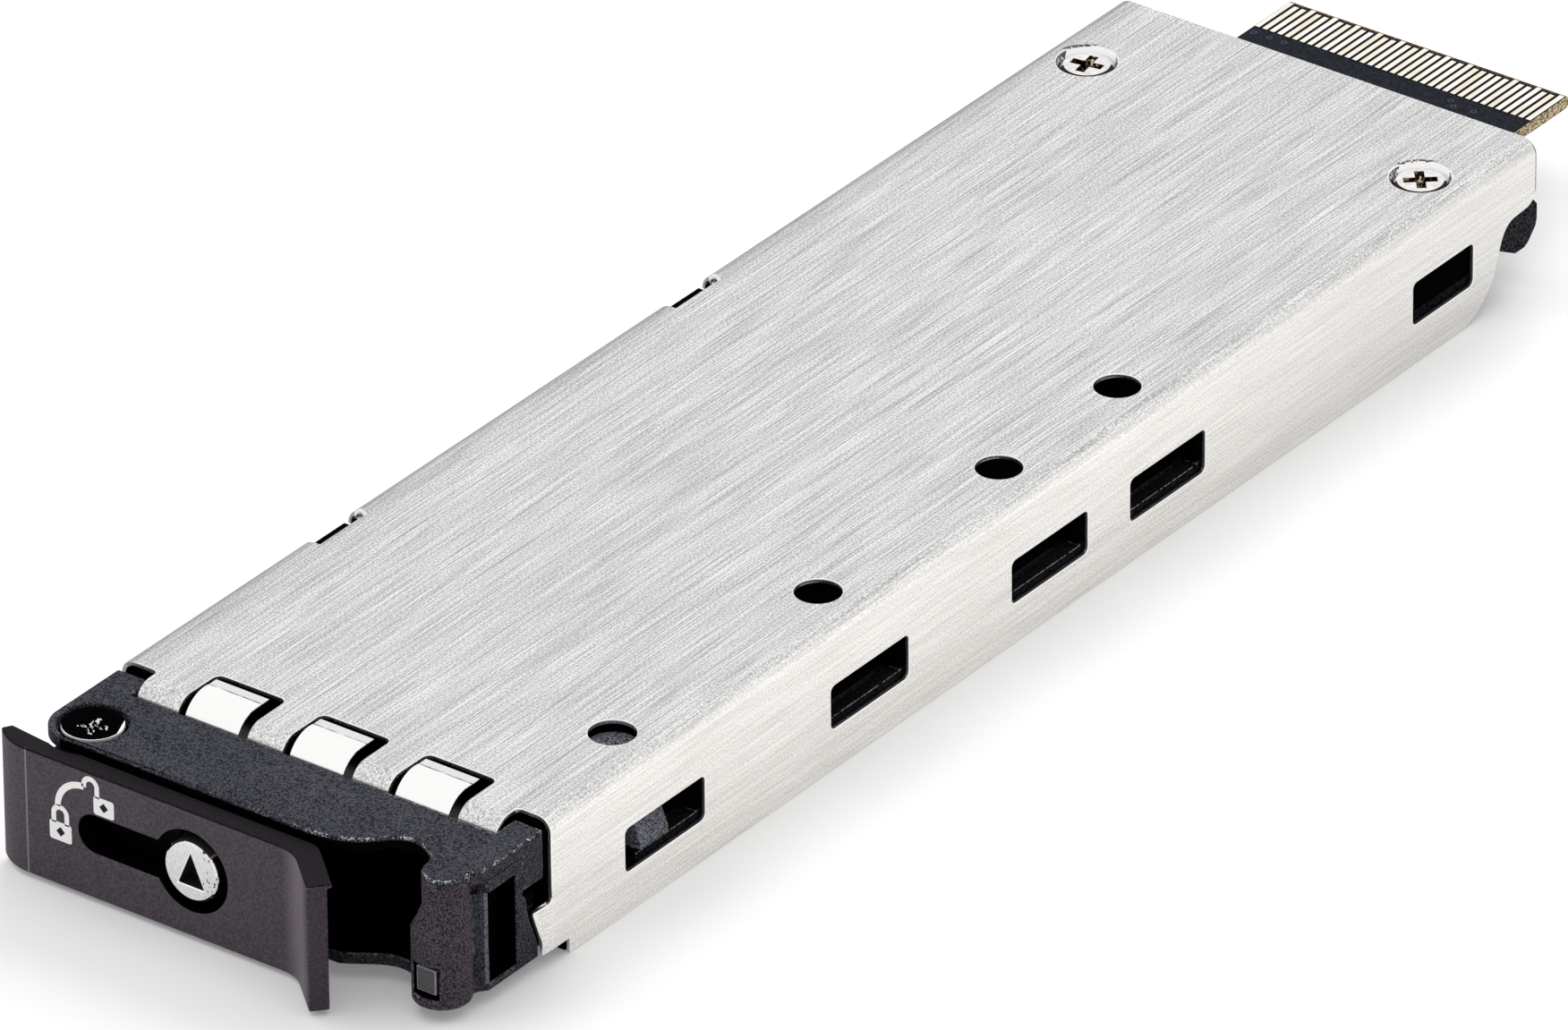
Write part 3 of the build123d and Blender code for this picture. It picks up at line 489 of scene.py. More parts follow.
# painted shade: black in the key slot and the ring around the knob, darker on the top flange and
# the lip's end
def handleShade(plastic):
    x, y, z = plastic.axes()
    across, rise = x - lockCentre.x, z - lockCentre.z
    cup = (across * across + rise * rise) ** 0.5
    ring = (cup < shadeLook["cup"] * mm) * plastic.within(y=shadeBoxes["keySlot"]["y"])
    flange = boxed(plastic, "flange") * shadeLook["flange"]
    end = boxed(plastic, "lipEnd") * shadeLook["lipEnd"]
    return (ring + boxed(plastic, "keySlot") + flange + end).slope(0, 1)


# painted highlights: the light band where the lip turns out, and the light crease at the hinge end
def handleHighlights(plastic, colour, fine):
    sweep, crease = shadeLook["sweep"], shadeLook["crease"]
    x, y, z = plastic.axes()
    band = x.ramp(*sweep["rise"]) * x.ramp(*sweep["fall"])
    band = band * (y < sweep["y"] * mm) * (z < sweep["z"] * mm)
    colour = plastic.mix(band * sweep["share"], colour, sweep["tone"])
    fold = abs(x - crease["x"] * mm).ramp(*crease["half"]) * (y < crease["y"] * mm)
    return plastic.mix(fold, colour, crease["tone"])


def platedMetal(name, low, high, roughness):
    metal = Finish(name, high, roughness, 1.0)
    wear = metal.noise(2500, 3.0)
    metal.set("Base Color", metal.mix(wear.slope(0.3, 0.7), low, high))
    metal.set("Roughness", roughness - 0.05 + wear * 0.1)
    metal.bump(wear, 0.008 * mm, 0.5)
    return metal


knobLook = {
    "low": (0.72, 0.71, 0.72),
    "high": (0.86, 0.85, 0.86),
    "rim": (0.97, 0.97, 0.97),
    "pit": (0.06, 0.06, 0.06),
    "pitAbove": 0.6,
    "pitFrom": 0.9,
    "paint": (0.004, 0.004, 0.004),
    "paintDepth": (0.1, 1.4),
    "paintReach": (1.5, 1.35),
}


# chrome knob, black down in the triangular socket
def chromeKnob():
    look = knobLook
    chrome = Finish("chrome_knob", (0.9, 0.9, 0.9), 0.12, 1.0)
    x, y, z = chrome.axes()
    wear = chrome.noise(4200, 3.0)
    front, rear = [handleFace + depth * mm for depth in look["paintDepth"]]
    painted = (y > front) * (y < rear) * abs(x - lockCentre.x).ramp(*look["paintReach"])
    plated = chrome.mix(wear.slope(0.35, 0.65), look["low"], look["high"])
    pits = (wear > look["pitAbove"]) * (x > lockCentre.x + look["pitFrom"] * mm)
    plated = chrome.mix(pits, plated, look["pit"])
    # painted highlight on the broken edges
    plated = chrome.mix(chrome.edge(), plated, look["rim"])
    chrome.set("Base Color", chrome.mix(painted, plated, look["paint"]))
    chrome.set("Metallic", 1.0 - painted)
    chrome.set("Roughness", 0.1 + wear * 0.1 + painted * 0.5)
    return chrome


boardLook = {
    "mask": (0.0022, 0.0025, 0.004),
    "maskLight": (0.013, 0.016, 0.027),
    "bare": (0.030, 0.018, 0.008),
    "bareLight": (0.20, 0.12, 0.05),
    "core": (0.72, 0.60, 0.38),
    "coreDark": (0.09, 0.055, 0.028),
    "mottle": 4600,
    "thread": (4200, 4200, 9000),
    "face": (0.01, 0.03),  # mm in from the two faces
    "maskEnd": 61.75,
    "padFront": 58.0,
}


# dark solder mask on both faces, bare laminate at the cut edges
def boardMask():
    look = boardLook
    board = Finish("board_mask", look["mask"], 0.5)
    x, y, z = board.axes()
    mottle = board.noise(look["mottle"], 3.0, 0.65)
    thread = board.noise(1.0, 2.0, 0.6, board.place(look["thread"]))
    middle = (boardLow.z + boardHigh.z) / 2
    half = (boardHigh.z - boardLow.z) / 2
    inside = abs(z - middle).slope(half - look["face"][0] * mm, half - look["face"][1] * mm)
    laminate = board.mix(thread.slope(0.4, 0.6), look["coreDark"], look["core"])
    mask = board.mix(mottle.slope(0.42, 0.66), look["mask"], look["maskLight"])
    mask = board.mix(y > look["padFront"] * mm, mask, look["mask"])
    bare = board.mix(mottle.slope(0.52, 0.62), look["bare"], look["bareLight"])
    face = board.mix(y > look["maskEnd"] * mm, mask, bare)
    board.set("Base Color", board.mix(inside, face, laminate))
    board.set("Roughness", 0.45 + mottle * 0.15 + inside * 0.2)
    board.set("Specular IOR Level", 0.05)
    board.bump(mottle, 0.02 * mm, 0.5)
    return board


goldLook = {
    "low": (0.93, 0.84, 0.66),
    "high": (1.0, 0.985, 0.94),
    "wear": (1800, 260, 400),
    "tip": (0.55, 0.42, 0.22),
    "tipFrom": 61.8,
    "gap": (0.004, 0.004, 0.005),
    "gapFrom": 50,
}
padRow = {"reach": 10.23, "pitch": 20.46 / 36, "half": 0.172}


# pale gold with dark flanks, so that the narrow gaps between the pads stay black
def goldPlate():
    look = goldLook
    gold = Finish("gold_contact", (0.98, 0.93, 0.82), 0.25, 1.0)
    x, y, z = gold.axes()
    wear = gold.noise(1.0, 3.0, 0.5, gold.place(look["wear"]))
    tint = gold.mix(wear.slope(0.3, 0.6), look["low"], look["high"])
    tint = gold.mix(y > look["tipFrom"] * mm, tint, look["tip"])
    across = x.sum("PINGPONG", x + padRow["reach"] * mm, padRow["pitch"] * mm / 2)
    flank = (across > padRow["half"] * mm) * (y > look["gapFrom"] * mm)
    gold.set("Base Color", gold.mix(flank, tint, look["gap"]))
    gold.set("Metallic", 1.0 - flank)
    gold.set("Roughness", 0.2 + wear * 0.15)
    gold.bump(wear, 0.01 * mm, 0.5)
    return gold


def plainPlastic(name, colour, roughness, speck=0.15, specular=0.3):
    plastic = Finish(name, colour, roughness)
    plastic.set("Specular IOR Level", specular)
    cloud = plastic.noise(1800, 3.0)
    low = [part * (1 - speck) for part in colour]
    high = [part * (1 + speck) for part in colour]
    plastic.set("Base Color", plastic.mix(cloud, low, high))
    plastic.set("Roughness", roughness - 0.05 + cloud * 0.1)
    plastic.bump(cloud, 0.01 * mm, 0.5)
    return plastic


clearLook = {"low": (0.045, 0.045, 0.05), "high": (0.085, 0.085, 0.09), "rim": (0.34, 0.34, 0.36)}


# smoky clear rod, with a painted highlight on its edges
def clearPlastic():
    look = clearLook
    clear = Finish("clear_plastic", (0.06, 0.06, 0.064), 0.25)
    haze = clear.noise(2600, 3.0)
    colour = clear.mix(haze, look["low"], look["high"])
    clear.set("Base Color", clear.mix(clear.edge(), colour, look["rim"]))
    clear.set("Roughness", 0.22 + haze * 0.1)
    clear.set("Transmission Weight", 0.2)
    clear.set("Specular IOR Level", 0.3)
    clear.bump(haze, 0.01 * mm, 0.5)
    return clear


nickelLook = {
    "low": (0.74, 0.73, 0.72),
    "high": (0.96, 0.95, 0.94),
    "slot": (0.012, 0.007, 0.004),
    "glint": (0.62, 0.50, 0.36),
    "glintEnds": (0.54, 0.58),
    "wall": (0.03, 0.02, 0.018),
    "wallReach": (1.44, 2.0),
    "toward": (0.6, 0.8),
    "wallFrom": 0.1,
}


# nickel head: painted shade and tan painted glints down in the cross, and painted shade on the near
# side below the rim
def nickelScrew():
    look = nickelLook
    nickel = Finish("nickel_screw", (0.84, 0.83, 0.81), 0.22, 1.0)
    x, y, z = nickel.axes()
    wear = nickel.noise(2500, 3.0)
    glint = nickel.noise(4300, 2.0)
    colour = nickel.mix(wear.slope(0.3, 0.7), look["low"], look["high"])
    cross = nickel.mix(glint.slope(*look["glintEnds"]), look["slot"], look["glint"])
    colour = nickel.mix(nickel.marked("recess"), colour, cross)
    for centre in screwCentres:
        reach = nickel.reach(centre.x, centre.y)
        toward = (x - centre.x) * look["toward"][0] - (y - centre.y) * look["toward"][1]
        wall = (reach > look["wallReach"][0] * mm) * (reach < look["wallReach"][1] * mm)
        colour = nickel.mix(wall * (toward > look["wallFrom"] * mm), colour, look["wall"])
    nickel.set("Base Color", colour)
    nickel.set("Roughness", 0.18 + wear * 0.1)
    nickel.bump(wear, 0.008 * mm, 0.5)
    return nickel


pivotLook = {
    "spot": (-13.0, -54.6),
    "low": (0.0005, 0.0005, 0.0005),
    "high": (0.002, 0.002, 0.002),
    "glint": (0.95, 0.95, 0.95),
    "glintEnds": (0.53, 0.58),
    "shine": (0.9, 0.89, 0.9),
    "toward": (0.59, 0.81),
    "rimReach": (1.84, 1.915),
    "rimFade": (0, 0.9),
    "rimShare": 0.7,
    "endReach": (1.5, 1.86),
    "endAlong": (0.93, 0.37),
    "endFrom": 1.68,
    "endShare": 0.8,
}


# glossy black screw with painted white glints in its cross, and painted highlights on the near half
# of its rim and at its right end
def blackScrew():
    look = pivotLook
    black = Finish("black_screw", look["high"], 0.2)
    x, y, z = black.axes()
    glint = black.noise(4200, 1.0)
    spots = black.marked("recess") * glint.slope(*look["glintEnds"])
    centre = [part * mm for part in look["spot"]]
    across, along = x - centre[0], y - centre[1]
    reach = black.reach(*centre)
    toward = across * look["toward"][0] - along * look["toward"][1]
    rim = (reach > look["rimReach"][0] * mm) * (reach < look["rimReach"][1] * mm)
    rim = rim * toward.ramp(*look["rimFade"])
    end = (reach > look["endReach"][0] * mm) * (reach < look["endReach"][1] * mm)
    end = end * (across * look["endAlong"][0] + along * look["endAlong"][1] > look["endFrom"] * mm)
    shine = rim * look["rimShare"] + end * look["endShare"]
    colour = black.mix(shine, black.mix(glint, look["low"], look["high"]), look["shine"])
    black.set("Base Color", black.mix(spots, colour, look["glint"]))
    black.set("Roughness", 0.18 + glint * 0.08)
    black.set("Specular IOR Level", 0.0)
    black.bump(glint, 0.006 * mm, 0.4)
    return black


finishes = {
    "brushed_cover": brushedSheet(),
    "bright_spring": springSteel(),
    "liner_plastic": mouldedPlastic("liner_plastic", "liner", 0.8, linerShade, linerHighlight),
    "bezel_plastic": mouldedPlastic("bezel_plastic", "bezel", 1.0, bezelShade, bezelTintAndHighlight),
    "handle_plastic": mouldedPlastic("handle_plastic", "handle", 0.9, handleShade, handleHighlights),
    "retainer_plastic": mouldedPlastic("retainer_plastic", "retainer"),
    "nickel_screw": nickelScrew(),
    "black_screw": blackScrew(),
    "bright_lock": chromeKnob(),
    "steel_cam": platedMetal("steel_cam", (0.45, 0.45, 0.44), (0.62, 0.62, 0.60), 0.32),
    "board_mask": boardMask(),
    "drive_mask": plainPlastic("drive_mask", (0.012, 0.030, 0.020), 0.35),
    "gold_contact": goldPlate(),
    "socket_plastic": plainPlastic("socket_plastic", (0.012, 0.012, 0.012), 0.4, 0.3, 0.2),
    "chip_plastic": plainPlastic("chip_plastic", (0.016, 0.016, 0.018), 0.45, 0.3, 0.2),
    "pad_rubber": plainPlastic("pad_rubber", (0.24, 0.26, 0.30), 0.8),
    "lamp_plastic": plainPlastic("lamp_plastic", (0.75, 0.74, 0.68), 0.35),
    "clear_plastic": clearPlastic(),
}
signPaint = plainPlastic("sign_paint", (0.86, 0.86, 0.85), 0.5, 0.03)
signHole = plainPlastic("sign_hole", (0.012, 0.010, 0.012), 0.5, 0.15, 0.1)
viaPaint = plainPlastic("via_paint", (0.030, 0.036, 0.048), 0.5, 0.2, 0.1)
print("finishes made:", len(finishes) + 3)


# writes a bmesh to an object with smooth rounds and crisp flats
def finished(build, name, finish, body, smooth=35):
    mesh = bpy.data.meshes.new(name)
    build.to_mesh(mesh)
    build.free()
    mesh.materials.clear()
    mesh.materials.append(finish.material)
    for face in mesh.polygons:
        face.material_index = 0
    mesh.shade_smooth()
    mesh.set_sharp_from_angle(angle=radians(smooth))
    piece = bpy.data.objects.new(name, mesh)
    bpy.context.scene.collection.objects.link(piece)
    flats = piece.modifiers.new("flats", "WEIGHTED_NORMAL")
    flats.keep_sharp = True
    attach(piece, body)
    return piece


breakLook = {
    "weld": 0.002 * mm,
    "flat": 0.4,  # degrees
    "crisp": 50,
    "segments": 2,
    "stray": 0.45,  # of the edge's width
    "outside": 0.001 * mm,
}


# a copy of a CAD node with its edges broken, which stands for the node
def broken(node, slot, width):
    look = breakLook
    build = bmesh.new()
    build.from_mesh(nodes[node].data)
    mark = build.faces.layers.float.new("edge")
    bmesh.ops.remove_doubles(build, verts=build.verts, dist=look["weld"])
    bmesh.ops.dissolve_limit(build, angle_limit=radians(look["flat"]), verts=build.verts,
                             edges=build.edges)
    before = BVHTree.FromBMesh(build)
    crisp = [edge for edge in build.edges if len(edge.link_faces) == 2
             and edge.calc_face_angle(0) > radians(look["crisp"])]
    made = bmesh.ops.bevel(build, geom=crisp, offset=width, offset_type="OFFSET",
                           segments=look["segments"], profile=0.5, affect="EDGES",
                           clamp_overlap=False, material=-1)
    for face in made["faces"]:
        face[mark] = 1.0
    # corners that overshot go back to the surface that they came from
    for vert in build.verts:
        near, normal, index, away = before.find_nearest(vert.co)
        if away > width * look["stray"] or (vert.co - near).dot(normal) > look["outside"]:
            vert.co = near
    piece = finished(build, node + "_skin", finishes[slot], bodyOf[node])
    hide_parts(node)


edgeBreaks = {
    "cover": ("brushed_cover", 0.05 * mm),
    "contact_spring": ("bright_spring", 0.02 * mm),
    "front_bezel": ("bezel_plastic", 0.14 * mm),
    "handle": ("handle_plastic", 0.09 * mm),
    "tray_base": ("liner_plastic", 0.03 * mm),
    "drive_retainer": ("retainer_plastic", 0.05 * mm),
    "lock_knob": ("bright_lock", 0.07 * mm),
    "light_pipe": ("clear_plastic", 0.08 * mm),
}
for node, (slot, width) in edgeBreaks.items():
    broken(node, slot, width)


notchLook = {
    "ys": (-29.1, 5.8),
    "half": 2.2,
    "from": -16.4,
    "to": -14.3,
    "level": 8.84,
    "high": 9.44,
    "eye": {"x": -14.68, "z": 9.54, "inner": 0.15, "outer": 0.42, "length": 0.3, "corner": 0.05},
}


# the hooks are cut low in the two notches, so each notch shows only a thin dark line
def clearedNotches(piece):
    look = notchLook
    build = bmesh.new()
    for y in look["ys"]:
        made = bmesh.ops.create_cube(build, size=1.0)
        size = ((look["to"] - look["from"]) * mm, 2 * look["half"] * mm,
                (look["high"] - look["level"]) * mm)
        middle = ((look["to"] + look["from"]) / 2 * mm, y * mm,
                  (look["high"] + look["level"]) / 2 * mm)
        bmesh.ops.scale(build, vec=size, verts=made["verts"])
        bmesh.ops.translate(build, vec=middle, verts=made["verts"])
    mesh = bpy.data.meshes.new("notch_cutter")
    build.to_mesh(mesh)
    build.free()
    cutter = bpy.data.objects.new("notch_cutter", mesh)
    bpy.context.scene.collection.objects.link(cutter)
    cut = piece.modifiers.new("notches", "BOOLEAN")
    cut.operation = "DIFFERENCE"
    cut.solver = "EXACT"
    cut.object = cutter
    bpy.context.view_layer.update()
    result = piece.evaluated_get(bpy.context.evaluated_depsgraph_get())
    shape = bpy.data.meshes.new_from_object(result)
    piece.modifiers.clear()
    piece.data = shape
    bpy.data.objects.remove(cutter)


# a small rolled eye of sheet at the rear end of each notch
def notchEyes():
    eye = notchLook["eye"]
    build = bmesh.new()
    centre = Vector((eye["x"] * mm, 0, eye["z"] * mm))
    corner = eye["corner"] * mm
    inner, outer = eye["inner"] * mm, eye["outer"] * mm
    for y in notchLook["ys"]:
        rear = (y + notchLook["half"] + 0.05) * mm
        front = rear - eye["length"] * mm
        line = [(inner, rear), (inner, front + corner), (inner + corner, front),
                (outer - corner, front), (outer, front + corner), (outer, rear)]
        verts = [build.verts.new(centre + Vector((reach, along, 0))) for reach, along in line]
        run = [build.edges.new(pair) for pair in zip(verts, verts[1:] + verts[:1])]
        bmesh.ops.spin(build, geom=verts + run, cent=centre, axis=(0, 1, 0), angle=2 * pi,
                       steps=28, use_merge=True, use_duplicate=False)
    bmesh.ops.remove_doubles(build, verts=build.verts, dist=0.001 * mm)
    bmesh.ops.recalc_face_normals(build, faces=build.faces)
    finished(build, "notch_eyes", finishes["bright_spring"], "tray")


clearedNotches(bpy.data.objects["tray_base_skin"])
notchEyes()
print("edges broken on", len(edgeBreaks), "pieces")

nickelShape = {
    "slot": "nickel_screw",
    "shank": 0.68,
    "head": 0.44,
    "arm": 0.3,
    "reach": 1.06,
    "depth": 0.5,
    "taper": 0.62,
    "dish": ((0, -0.13), (-0.13, -0.03), (-0.38, 0), (-0.56, 0)),  # in and up from the rim
}
pivotShape = {
    "slot": "black_screw",
    "shank": 0.98,
    "head": 0.4,
    "arm": 0.24,
    "reach": 0.92,
    "depth": 0.42,
    "taper": 0.62,
    "dish": ((-0.14, -0.12), (-0.14, 0), (-0.42, 0), (-0.72, -0.13), (-1.0, -0.18)),
    "bright": {"band": 0.2, "below": 0.075},
}
screwShapes = {
    "pivot_screw": (pivotShape, 20),
    "cover_screw_1": (nickelShape, 10),
    "cover_screw_2": (nickelShape, 40),
}


# a turned screw with a tapered cross recess, which stands for its CAD node
def crossScrew(node, look, turn):
    low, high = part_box(node)
    middle = (low + high) / 2
    radius = (high.x - low.x) / 2
    build = bmesh.new()
    recess = build.faces.layers.float.new("recess")
    mark = build.faces.layers.float.new("edge")
    underHead = high.z - look["head"] * mm
    shank = look["shank"] * mm
    line = [(0, low.z), (shank, low.z), (shank, underHead), (radius, underHead)]
    line += [(radius + inward * mm, high.z + drop * mm) for inward, drop in look["dish"]]
    verts = [build.verts.new((middle.x + out, middle.y, level)) for out, level in line]
    run = [build.edges.new(pair) for pair in zip(verts, verts[1:])]
    bmesh.ops.spin(build, geom=verts + run, cent=(middle.x, middle.y, 0), axis=(0, 0, 1),
                   angle=2 * pi, steps=48, use_merge=True, use_duplicate=False)
    bmesh.ops.remove_doubles(build, verts=build.verts, dist=0.001 * mm)
    if "bright" in look:
        for face in build.faces:
            spot = face.calc_center_median()
            outer = (spot - middle).xy.length > radius - look["bright"]["band"] * mm
            if outer and abs(spot.z - high.z) < look["bright"]["below"] * mm:
                face[mark] = 1.0
    ring = [edge for edge in build.edges if len(edge.link_faces) == 1]
    floor = ring[0].verts[0].co.z
    arm, reach = look["arm"] * mm, look["reach"] * mm
    corners = [(reach, -arm), (reach, arm), (arm, arm), (arm, reach), (-arm, reach),
               (-arm, arm), (-reach, arm), (-reach, -arm), (-arm, -arm), (-arm, -reach),
               (arm, -reach), (arm, -arm)]
    cross = [build.verts.new((middle.x + x, middle.y + y, floor)) for x, y in corners]
    bmesh.ops.rotate(build, verts=cross, cent=(middle.x, middle.y, 0),
                     matrix=Matrix.Rotation(radians(turn), 3, "Z"))
    outline = [build.edges.new(pair) for pair in zip(cross, cross[1:] + cross[:1])]
    bmesh.ops.triangle_fill(build, edges=ring + outline, use_beauty=True, normal=(0, 0, 1))
    grown = bmesh.ops.extrude_edge_only(build, edges=outline)["geom"]
    moved = [item for item in grown if isinstance(item, bmesh.types.BMVert)]
    walls = [item for item in grown if isinstance(item, bmesh.types.BMFace)]
    bmesh.ops.translate(build, verts=moved, vec=(0, 0, -look["depth"] * mm))
    bmesh.ops.scale(build, verts=moved, vec=(look["taper"], look["taper"], 1),
                    space=Matrix.Translation((-middle.x, -middle.y, 0)))
    bottom = [item for item in grown if isinstance(item, bmesh.types.BMEdge)
              and all(vert in moved for vert in item.verts)]
    walls += bmesh.ops.contextual_create(build, geom=bottom)["faces"]
    for face in walls:
        face[recess] = 1.0
    bmesh.ops.recalc_face_normals(build, faces=build.faces)
    slot = look["slot"]
    piece = finished(build, node + "_turned", finishes[slot], bodyOf[node], 30)
    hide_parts(node)


for node, (look, turn) in screwShapes.items():
    crossScrew(node, look, turn)
print("screws turned:", len(screwShapes))

plainNodes = {
    "carrier_board": "board_mask",
    "edge_contacts_top": "gold_contact",
    "edge_contacts_bottom": "gold_contact",
    "board_screw_1": "nickel_screw",
    "board_screw_2": "nickel_screw",
    "drive_socket": "socket_plastic",
    "socket_contacts": "gold_contact",
    "drive_board": "drive_mask",
    "drive_contacts": "gold_contact",
    "drive_controller": "chip_plastic",
    "drive_cache": "chip_plastic",
    "drive_memory_1": "chip_plastic",
    "drive_memory_2": "chip_plastic",
    "board_regulator": "chip_plastic",
    "board_inductor": "chip_plastic",
    "thermal_pad": "pad_rubber",
    "status_light": "lamp_plastic",
    "lock_cam": "steel_cam",
    "lock_clip": "steel_cam",
}
for node, slot in plainNodes.items():
    nodes[node].data.materials.clear()
    nodes[node].data.materials.append(finishes[slot].material)
print("finishes given to", len(plainNodes), "inner nodes")

signs = {
    "rise": 0.02 * mm,
    "sink": 0.01 * mm,
    "stroke": 0.42 * mm,
    "shut": {"x": -12.39 * mm, "z": 3.35 * mm, "width": 1.62 * mm, "height": 1.25 * mm},
    "open": {"x": -9.12 * mm, "z": 6.1 * mm, "width": 1.5 * mm, "height": 1.2 * mm},
    "corner": 0.16 * mm,
    "shackle": 0.48 * mm,
    "shackleStroke": 0.8,  # of the stroke
    "leg": 0.55 * mm,
    "shortLeg": 0.35,  # of the leg, on the open padlock
    "lap": 0.1 * mm,
    "keyhole": 0.45 * mm,
    "keyholeRise": 0.008 * mm,
    "arc": {"centre": (-10.6 * mm, 5.7 * mm), "radius": 1.95 * mm},
}


# a flat shape drawn in X and Y becomes thin paint on the handle's face
def painted(build, name, finish, rise):
    bmesh.ops.recalc_face_normals(build, faces=build.faces)
    for face in build.faces:
        if face.normal.z < 0:
            face.normal_flip()
    shape = bmesh.ops.extrude_face_region(build, geom=build.faces[:])
    moved = [item for item in shape["geom"] if isinstance(item, bmesh.types.BMVert)]
    bmesh.ops.translate(build, verts=moved, vec=(0, 0, rise + signs["sink"]))
    bmesh.ops.recalc_face_normals(build, faces=build.faces)
    bmesh.ops.rotate(build, verts=build.verts, cent=(0, 0, 0),
                     matrix=Matrix.Rotation(radians(90), 3, "X"))
    bmesh.ops.translate(build, verts=build.verts, vec=(0, handleFace + signs["sink"], 0))
    finished(build, name, finish, "handle")


# a strip of even width that follows an arc
def arcStrip(build, centre, radius, stroke, start, sweep):
    ends = []
    for reach in (radius - stroke / 2, radius + stroke / 2):
        spot = (centre[0] + reach * cos(start), centre[1] + reach * sin(start), 0)
        ends.append(build.verts.new(spot))
    edge = build.edges.new(ends)
    turned = bmesh.ops.spin(build, geom=[*ends, edge], cent=(*centre, 0), axis=(0, 0, 1),
                            angle=sweep, steps=14, use_merge=False, use_duplicate=False)
    last = [item for item in turned["geom_last"] if isinstance(item, bmesh.types.BMEdge)]
    return edge, last[0]


# carries an open end of a strip straight on
def runOn(build, edge, step):
    grown = bmesh.ops.extrude_edge_only(build, edges=[edge])
    moved = [item for item in grown["geom"] if isinstance(item, bmesh.types.BMVert)]
    bmesh.ops.translate(build, verts=moved, vec=(*step, 0))


# a flat rectangle, with rounded corners where it is given a rounding
def plate(build, middle, width, height, rounding=0):
    made = bmesh.ops.create_grid(build, x_segments=1, y_segments=1, size=0.5)
    bmesh.ops.scale(build, vec=(width, height, 1), verts=made["verts"])
    bmesh.ops.translate(build, vec=middle, verts=made["verts"])
    if rounding:
        bmesh.ops.bevel(build, geom=made["verts"], offset=rounding, offset_type="OFFSET",
                        segments=3, profile=0.5, affect="VERTICES", material=-1)


# body, shackle and keyhole; the open one has its shackle swung out to the left
def padlock(name, spot, opened):
    leg, lap = signs["leg"], signs["lap"]
    middle = (spot["x"], spot["z"] + spot["height"] / 2, 0)
    build = bmesh.new()
    plate(build, middle, spot["width"], spot["height"], signs["corner"])
    shift = -2 * signs["shackle"] if opened else 0.0
    centre = (spot["x"] + shift, spot["z"] + spot["height"] + leg)
    stroke = signs["stroke"] * signs["shackleStroke"]
    first, last = arcStrip(build, centre, signs["shackle"], stroke, 0.0, pi)
    runOn(build, first, (0, -leg - lap))
    runOn(build, last, (0, -leg * signs["shortLeg"] if opened else -leg - lap))
    painted(build, name, signPaint, signs["rise"])
    build = bmesh.new()
    plate(build, middle, signs["keyhole"], signs["keyhole"])
    bmesh.ops.rotate(build, verts=build.verts, cent=middle,
                     matrix=Matrix.Rotation(radians(45), 3, "Z"))
    painted(build, name + "_keyhole", signHole, signs["rise"] + signs["keyholeRise"])


padlock("shut_padlock", signs["shut"], False)
padlock("open_padlock", signs["open"], True)
build = bmesh.new()
arcStrip(build, signs["arc"]["centre"], signs["arc"]["radius"], signs["stroke"], pi, -pi / 2)
painted(build, "turn_arc", signPaint, signs["rise"])
print("signs painted on the handle")

viaSpots = {
    "radius": 0.22 * mm,
    "hole": 0.11 * mm,
    "rise": 0.02 * mm,
    "spots": [(-9.95, 57.32), (-8.76, 57.32), (-7.65, 57.34),
              (4.98, 57.28), (5.53, 56.79), (6.93, 56.95)],
}


# small plated holes in the dark band of the board
def boardVias():
    build = bmesh.new()
    for x, y in viaSpots["spots"]:
        rings = []
        spot = Matrix.Translation((x * mm, y * mm, boardHigh.z))
        for radius in (viaSpots["radius"], viaSpots["hole"]):
            made = bmesh.ops.create_circle(build, cap_ends=False, radius=radius, segments=16,
                                           matrix=spot)
            rings += list({edge for vert in made["verts"] for edge in vert.link_edges})
        bmesh.ops.bridge_loops(build, edges=rings)
    for face in build.faces:
        if face.normal.z < 0:
            face.normal_flip()
    shape = bmesh.ops.extrude_face_region(build, geom=build.faces[:])
    moved = [item for item in shape["geom"] if isinstance(item, bmesh.types.BMVert)]
    bmesh.ops.translate(build, verts=moved, vec=(0, 0, viaSpots["rise"]))
    bmesh.ops.recalc_face_normals(build, faces=build.faces)
    finished(build, "board_vias", viaPaint, "tray")


boardVias()
print("vias set in the board")

floorLook = {"size": 30.0, "colour": (0.80, 0.80, 0.80), "glow": 1.0, "share": 0.18}
shownRays = ("Is Camera Ray", "Is Glossy Ray", "Is Transmission Ray")


# pale floor that keeps shadows and reads white behind the part
def paleFloor():
    build = bmesh.new()
    bmesh.ops.create_grid(build, x_segments=1, y_segments=1, size=floorLook["size"] / 2)
    bmesh.ops.translate(build, verts=build.verts, vec=(0, 0, cadBox[0].z))
    mesh = bpy.data.meshes.new("floor")
    build.to_mesh(mesh)
    build.free()
    floor = bpy.data.objects.new("floor", mesh)
    bpy.context.scene.collection.objects.link(floor)
    paint = Finish("floor_paint", floorLook["colour"], 0.9)
    paint.set("Specular IOR Level", 0.0)
    path = paint.add("LightPath").socket.node
    seen = sum(Wire(paint, path.outputs[name]) for name in shownRays)
    share = seen.slope(0, 1) * floorLook["share"]
    glow = paint.add("Emission", {}, {"Color": (1, 1, 1, 1), "Strength": floorLook["glow"]})
    lit = Wire(paint, paint.shader.outputs[0])
    both = paint.add("MixShader", {}, {0: share, 1: lit, 2: glow})
    paint.plug(paint.tree.nodes["Material Output"].inputs["Surface"], both)
    mesh.materials.append(paint.material)


paleFloor()

skyLook = {"glow": 1.0, "light": 0.44}


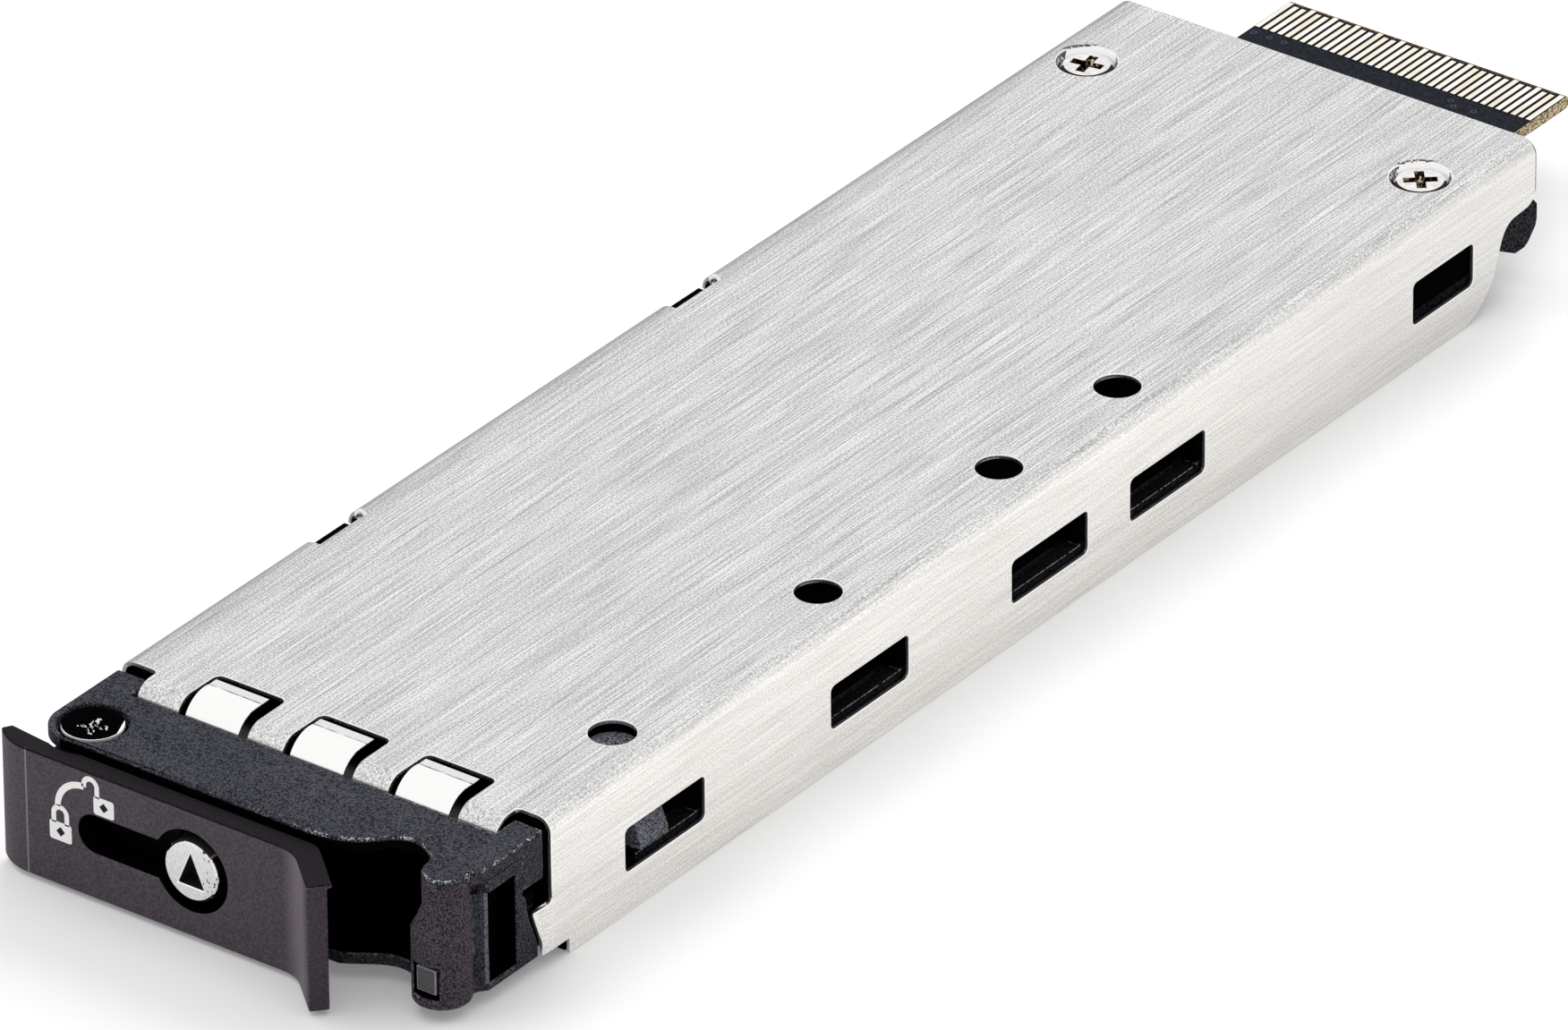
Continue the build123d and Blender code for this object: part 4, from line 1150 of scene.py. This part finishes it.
# white sky for the camera and in reflections, a weaker one as a light
def paleSky():
    world = bpy.data.worlds.new("studio")
    bpy.context.scene.world = world
    world.use_nodes = True
    tree = world.node_tree
    path = tree.nodes.new("ShaderNodeLightPath")
    most = path.outputs[shownRays[0]]
    for name in shownRays[1:]:
        larger = tree.nodes.new("ShaderNodeMath")
        larger.operation = "MAXIMUM"
        tree.links.new(most, larger.inputs[0])
        tree.links.new(path.outputs[name], larger.inputs[1])
        most = larger.outputs[0]
    level = tree.nodes.new("ShaderNodeMapRange")
    level.inputs["To Min"].default_value = skyLook["light"]
    level.inputs["To Max"].default_value = skyLook["glow"]
    tree.links.new(most, level.inputs["Value"])
    tree.links.new(level.outputs[0], tree.nodes["Background"].inputs["Strength"])
    tree.nodes["Background"].inputs["Color"].default_value = (1, 1, 1, 1)


paleSky()

# soft lamps that light the part and aren't seen in its reflections
lamps = {
    "rear_right": {"place": (1.3, 1.9, 1.35), "size": 2.3, "power": 22},
    "left": {"place": (-1.8, -0.7, 1.8), "size": 2.8, "power": 34},
    "overhead": {"place": (0.1, -0.1, 2.2), "size": 2.4, "power": 20},
    "rear": {"place": (-0.6, 1.9, 1.5), "size": 1.6, "power": 42},
}
for name, look in lamps.items():
    lamp = bpy.data.lights.new(name, "AREA")
    lamp.shape = "SQUARE"
    lamp.size = look["size"]
    lamp.energy = look["power"]
    holder = bpy.data.objects.new(name, lamp)
    holder.location = look["place"]
    holder.rotation_euler = Vector(look["place"]).to_track_quat("Z", "Y").to_euler()
    holder.visible_glossy = False
    bpy.context.scene.collection.objects.link(holder)
print("lamps hung:", len(lamps))

view = {
    "place": (598.779 * mm, -801.550 * mm, 581.467 * mm),
    "right": (0.8021216, 0.5971071, -0.0080044),
    "up": (-0.2937385, 0.4061920, 0.8652894),
    "back": (0.5199217, -0.6917161, 0.5012087),
    "lens": 443.4,
    "sensor": 36,
    "clipEnd": 60,
}
camera = bpy.data.cameras.new("camera")
camera.lens = view["lens"]
camera.sensor_width = view["sensor"]
camera.sensor_fit = "HORIZONTAL"
camera.clip_end = view["clipEnd"]
holder = bpy.data.objects.new("camera", camera)
turn = Matrix((view["right"], view["up"], view["back"])).transposed()
holder.matrix_world = Matrix.Translation(view["place"]) @ turn.to_4x4()
bpy.context.scene.collection.objects.link(holder)
bpy.context.scene.camera = holder
bpy.context.scene.view_settings.view_transform = "Standard"
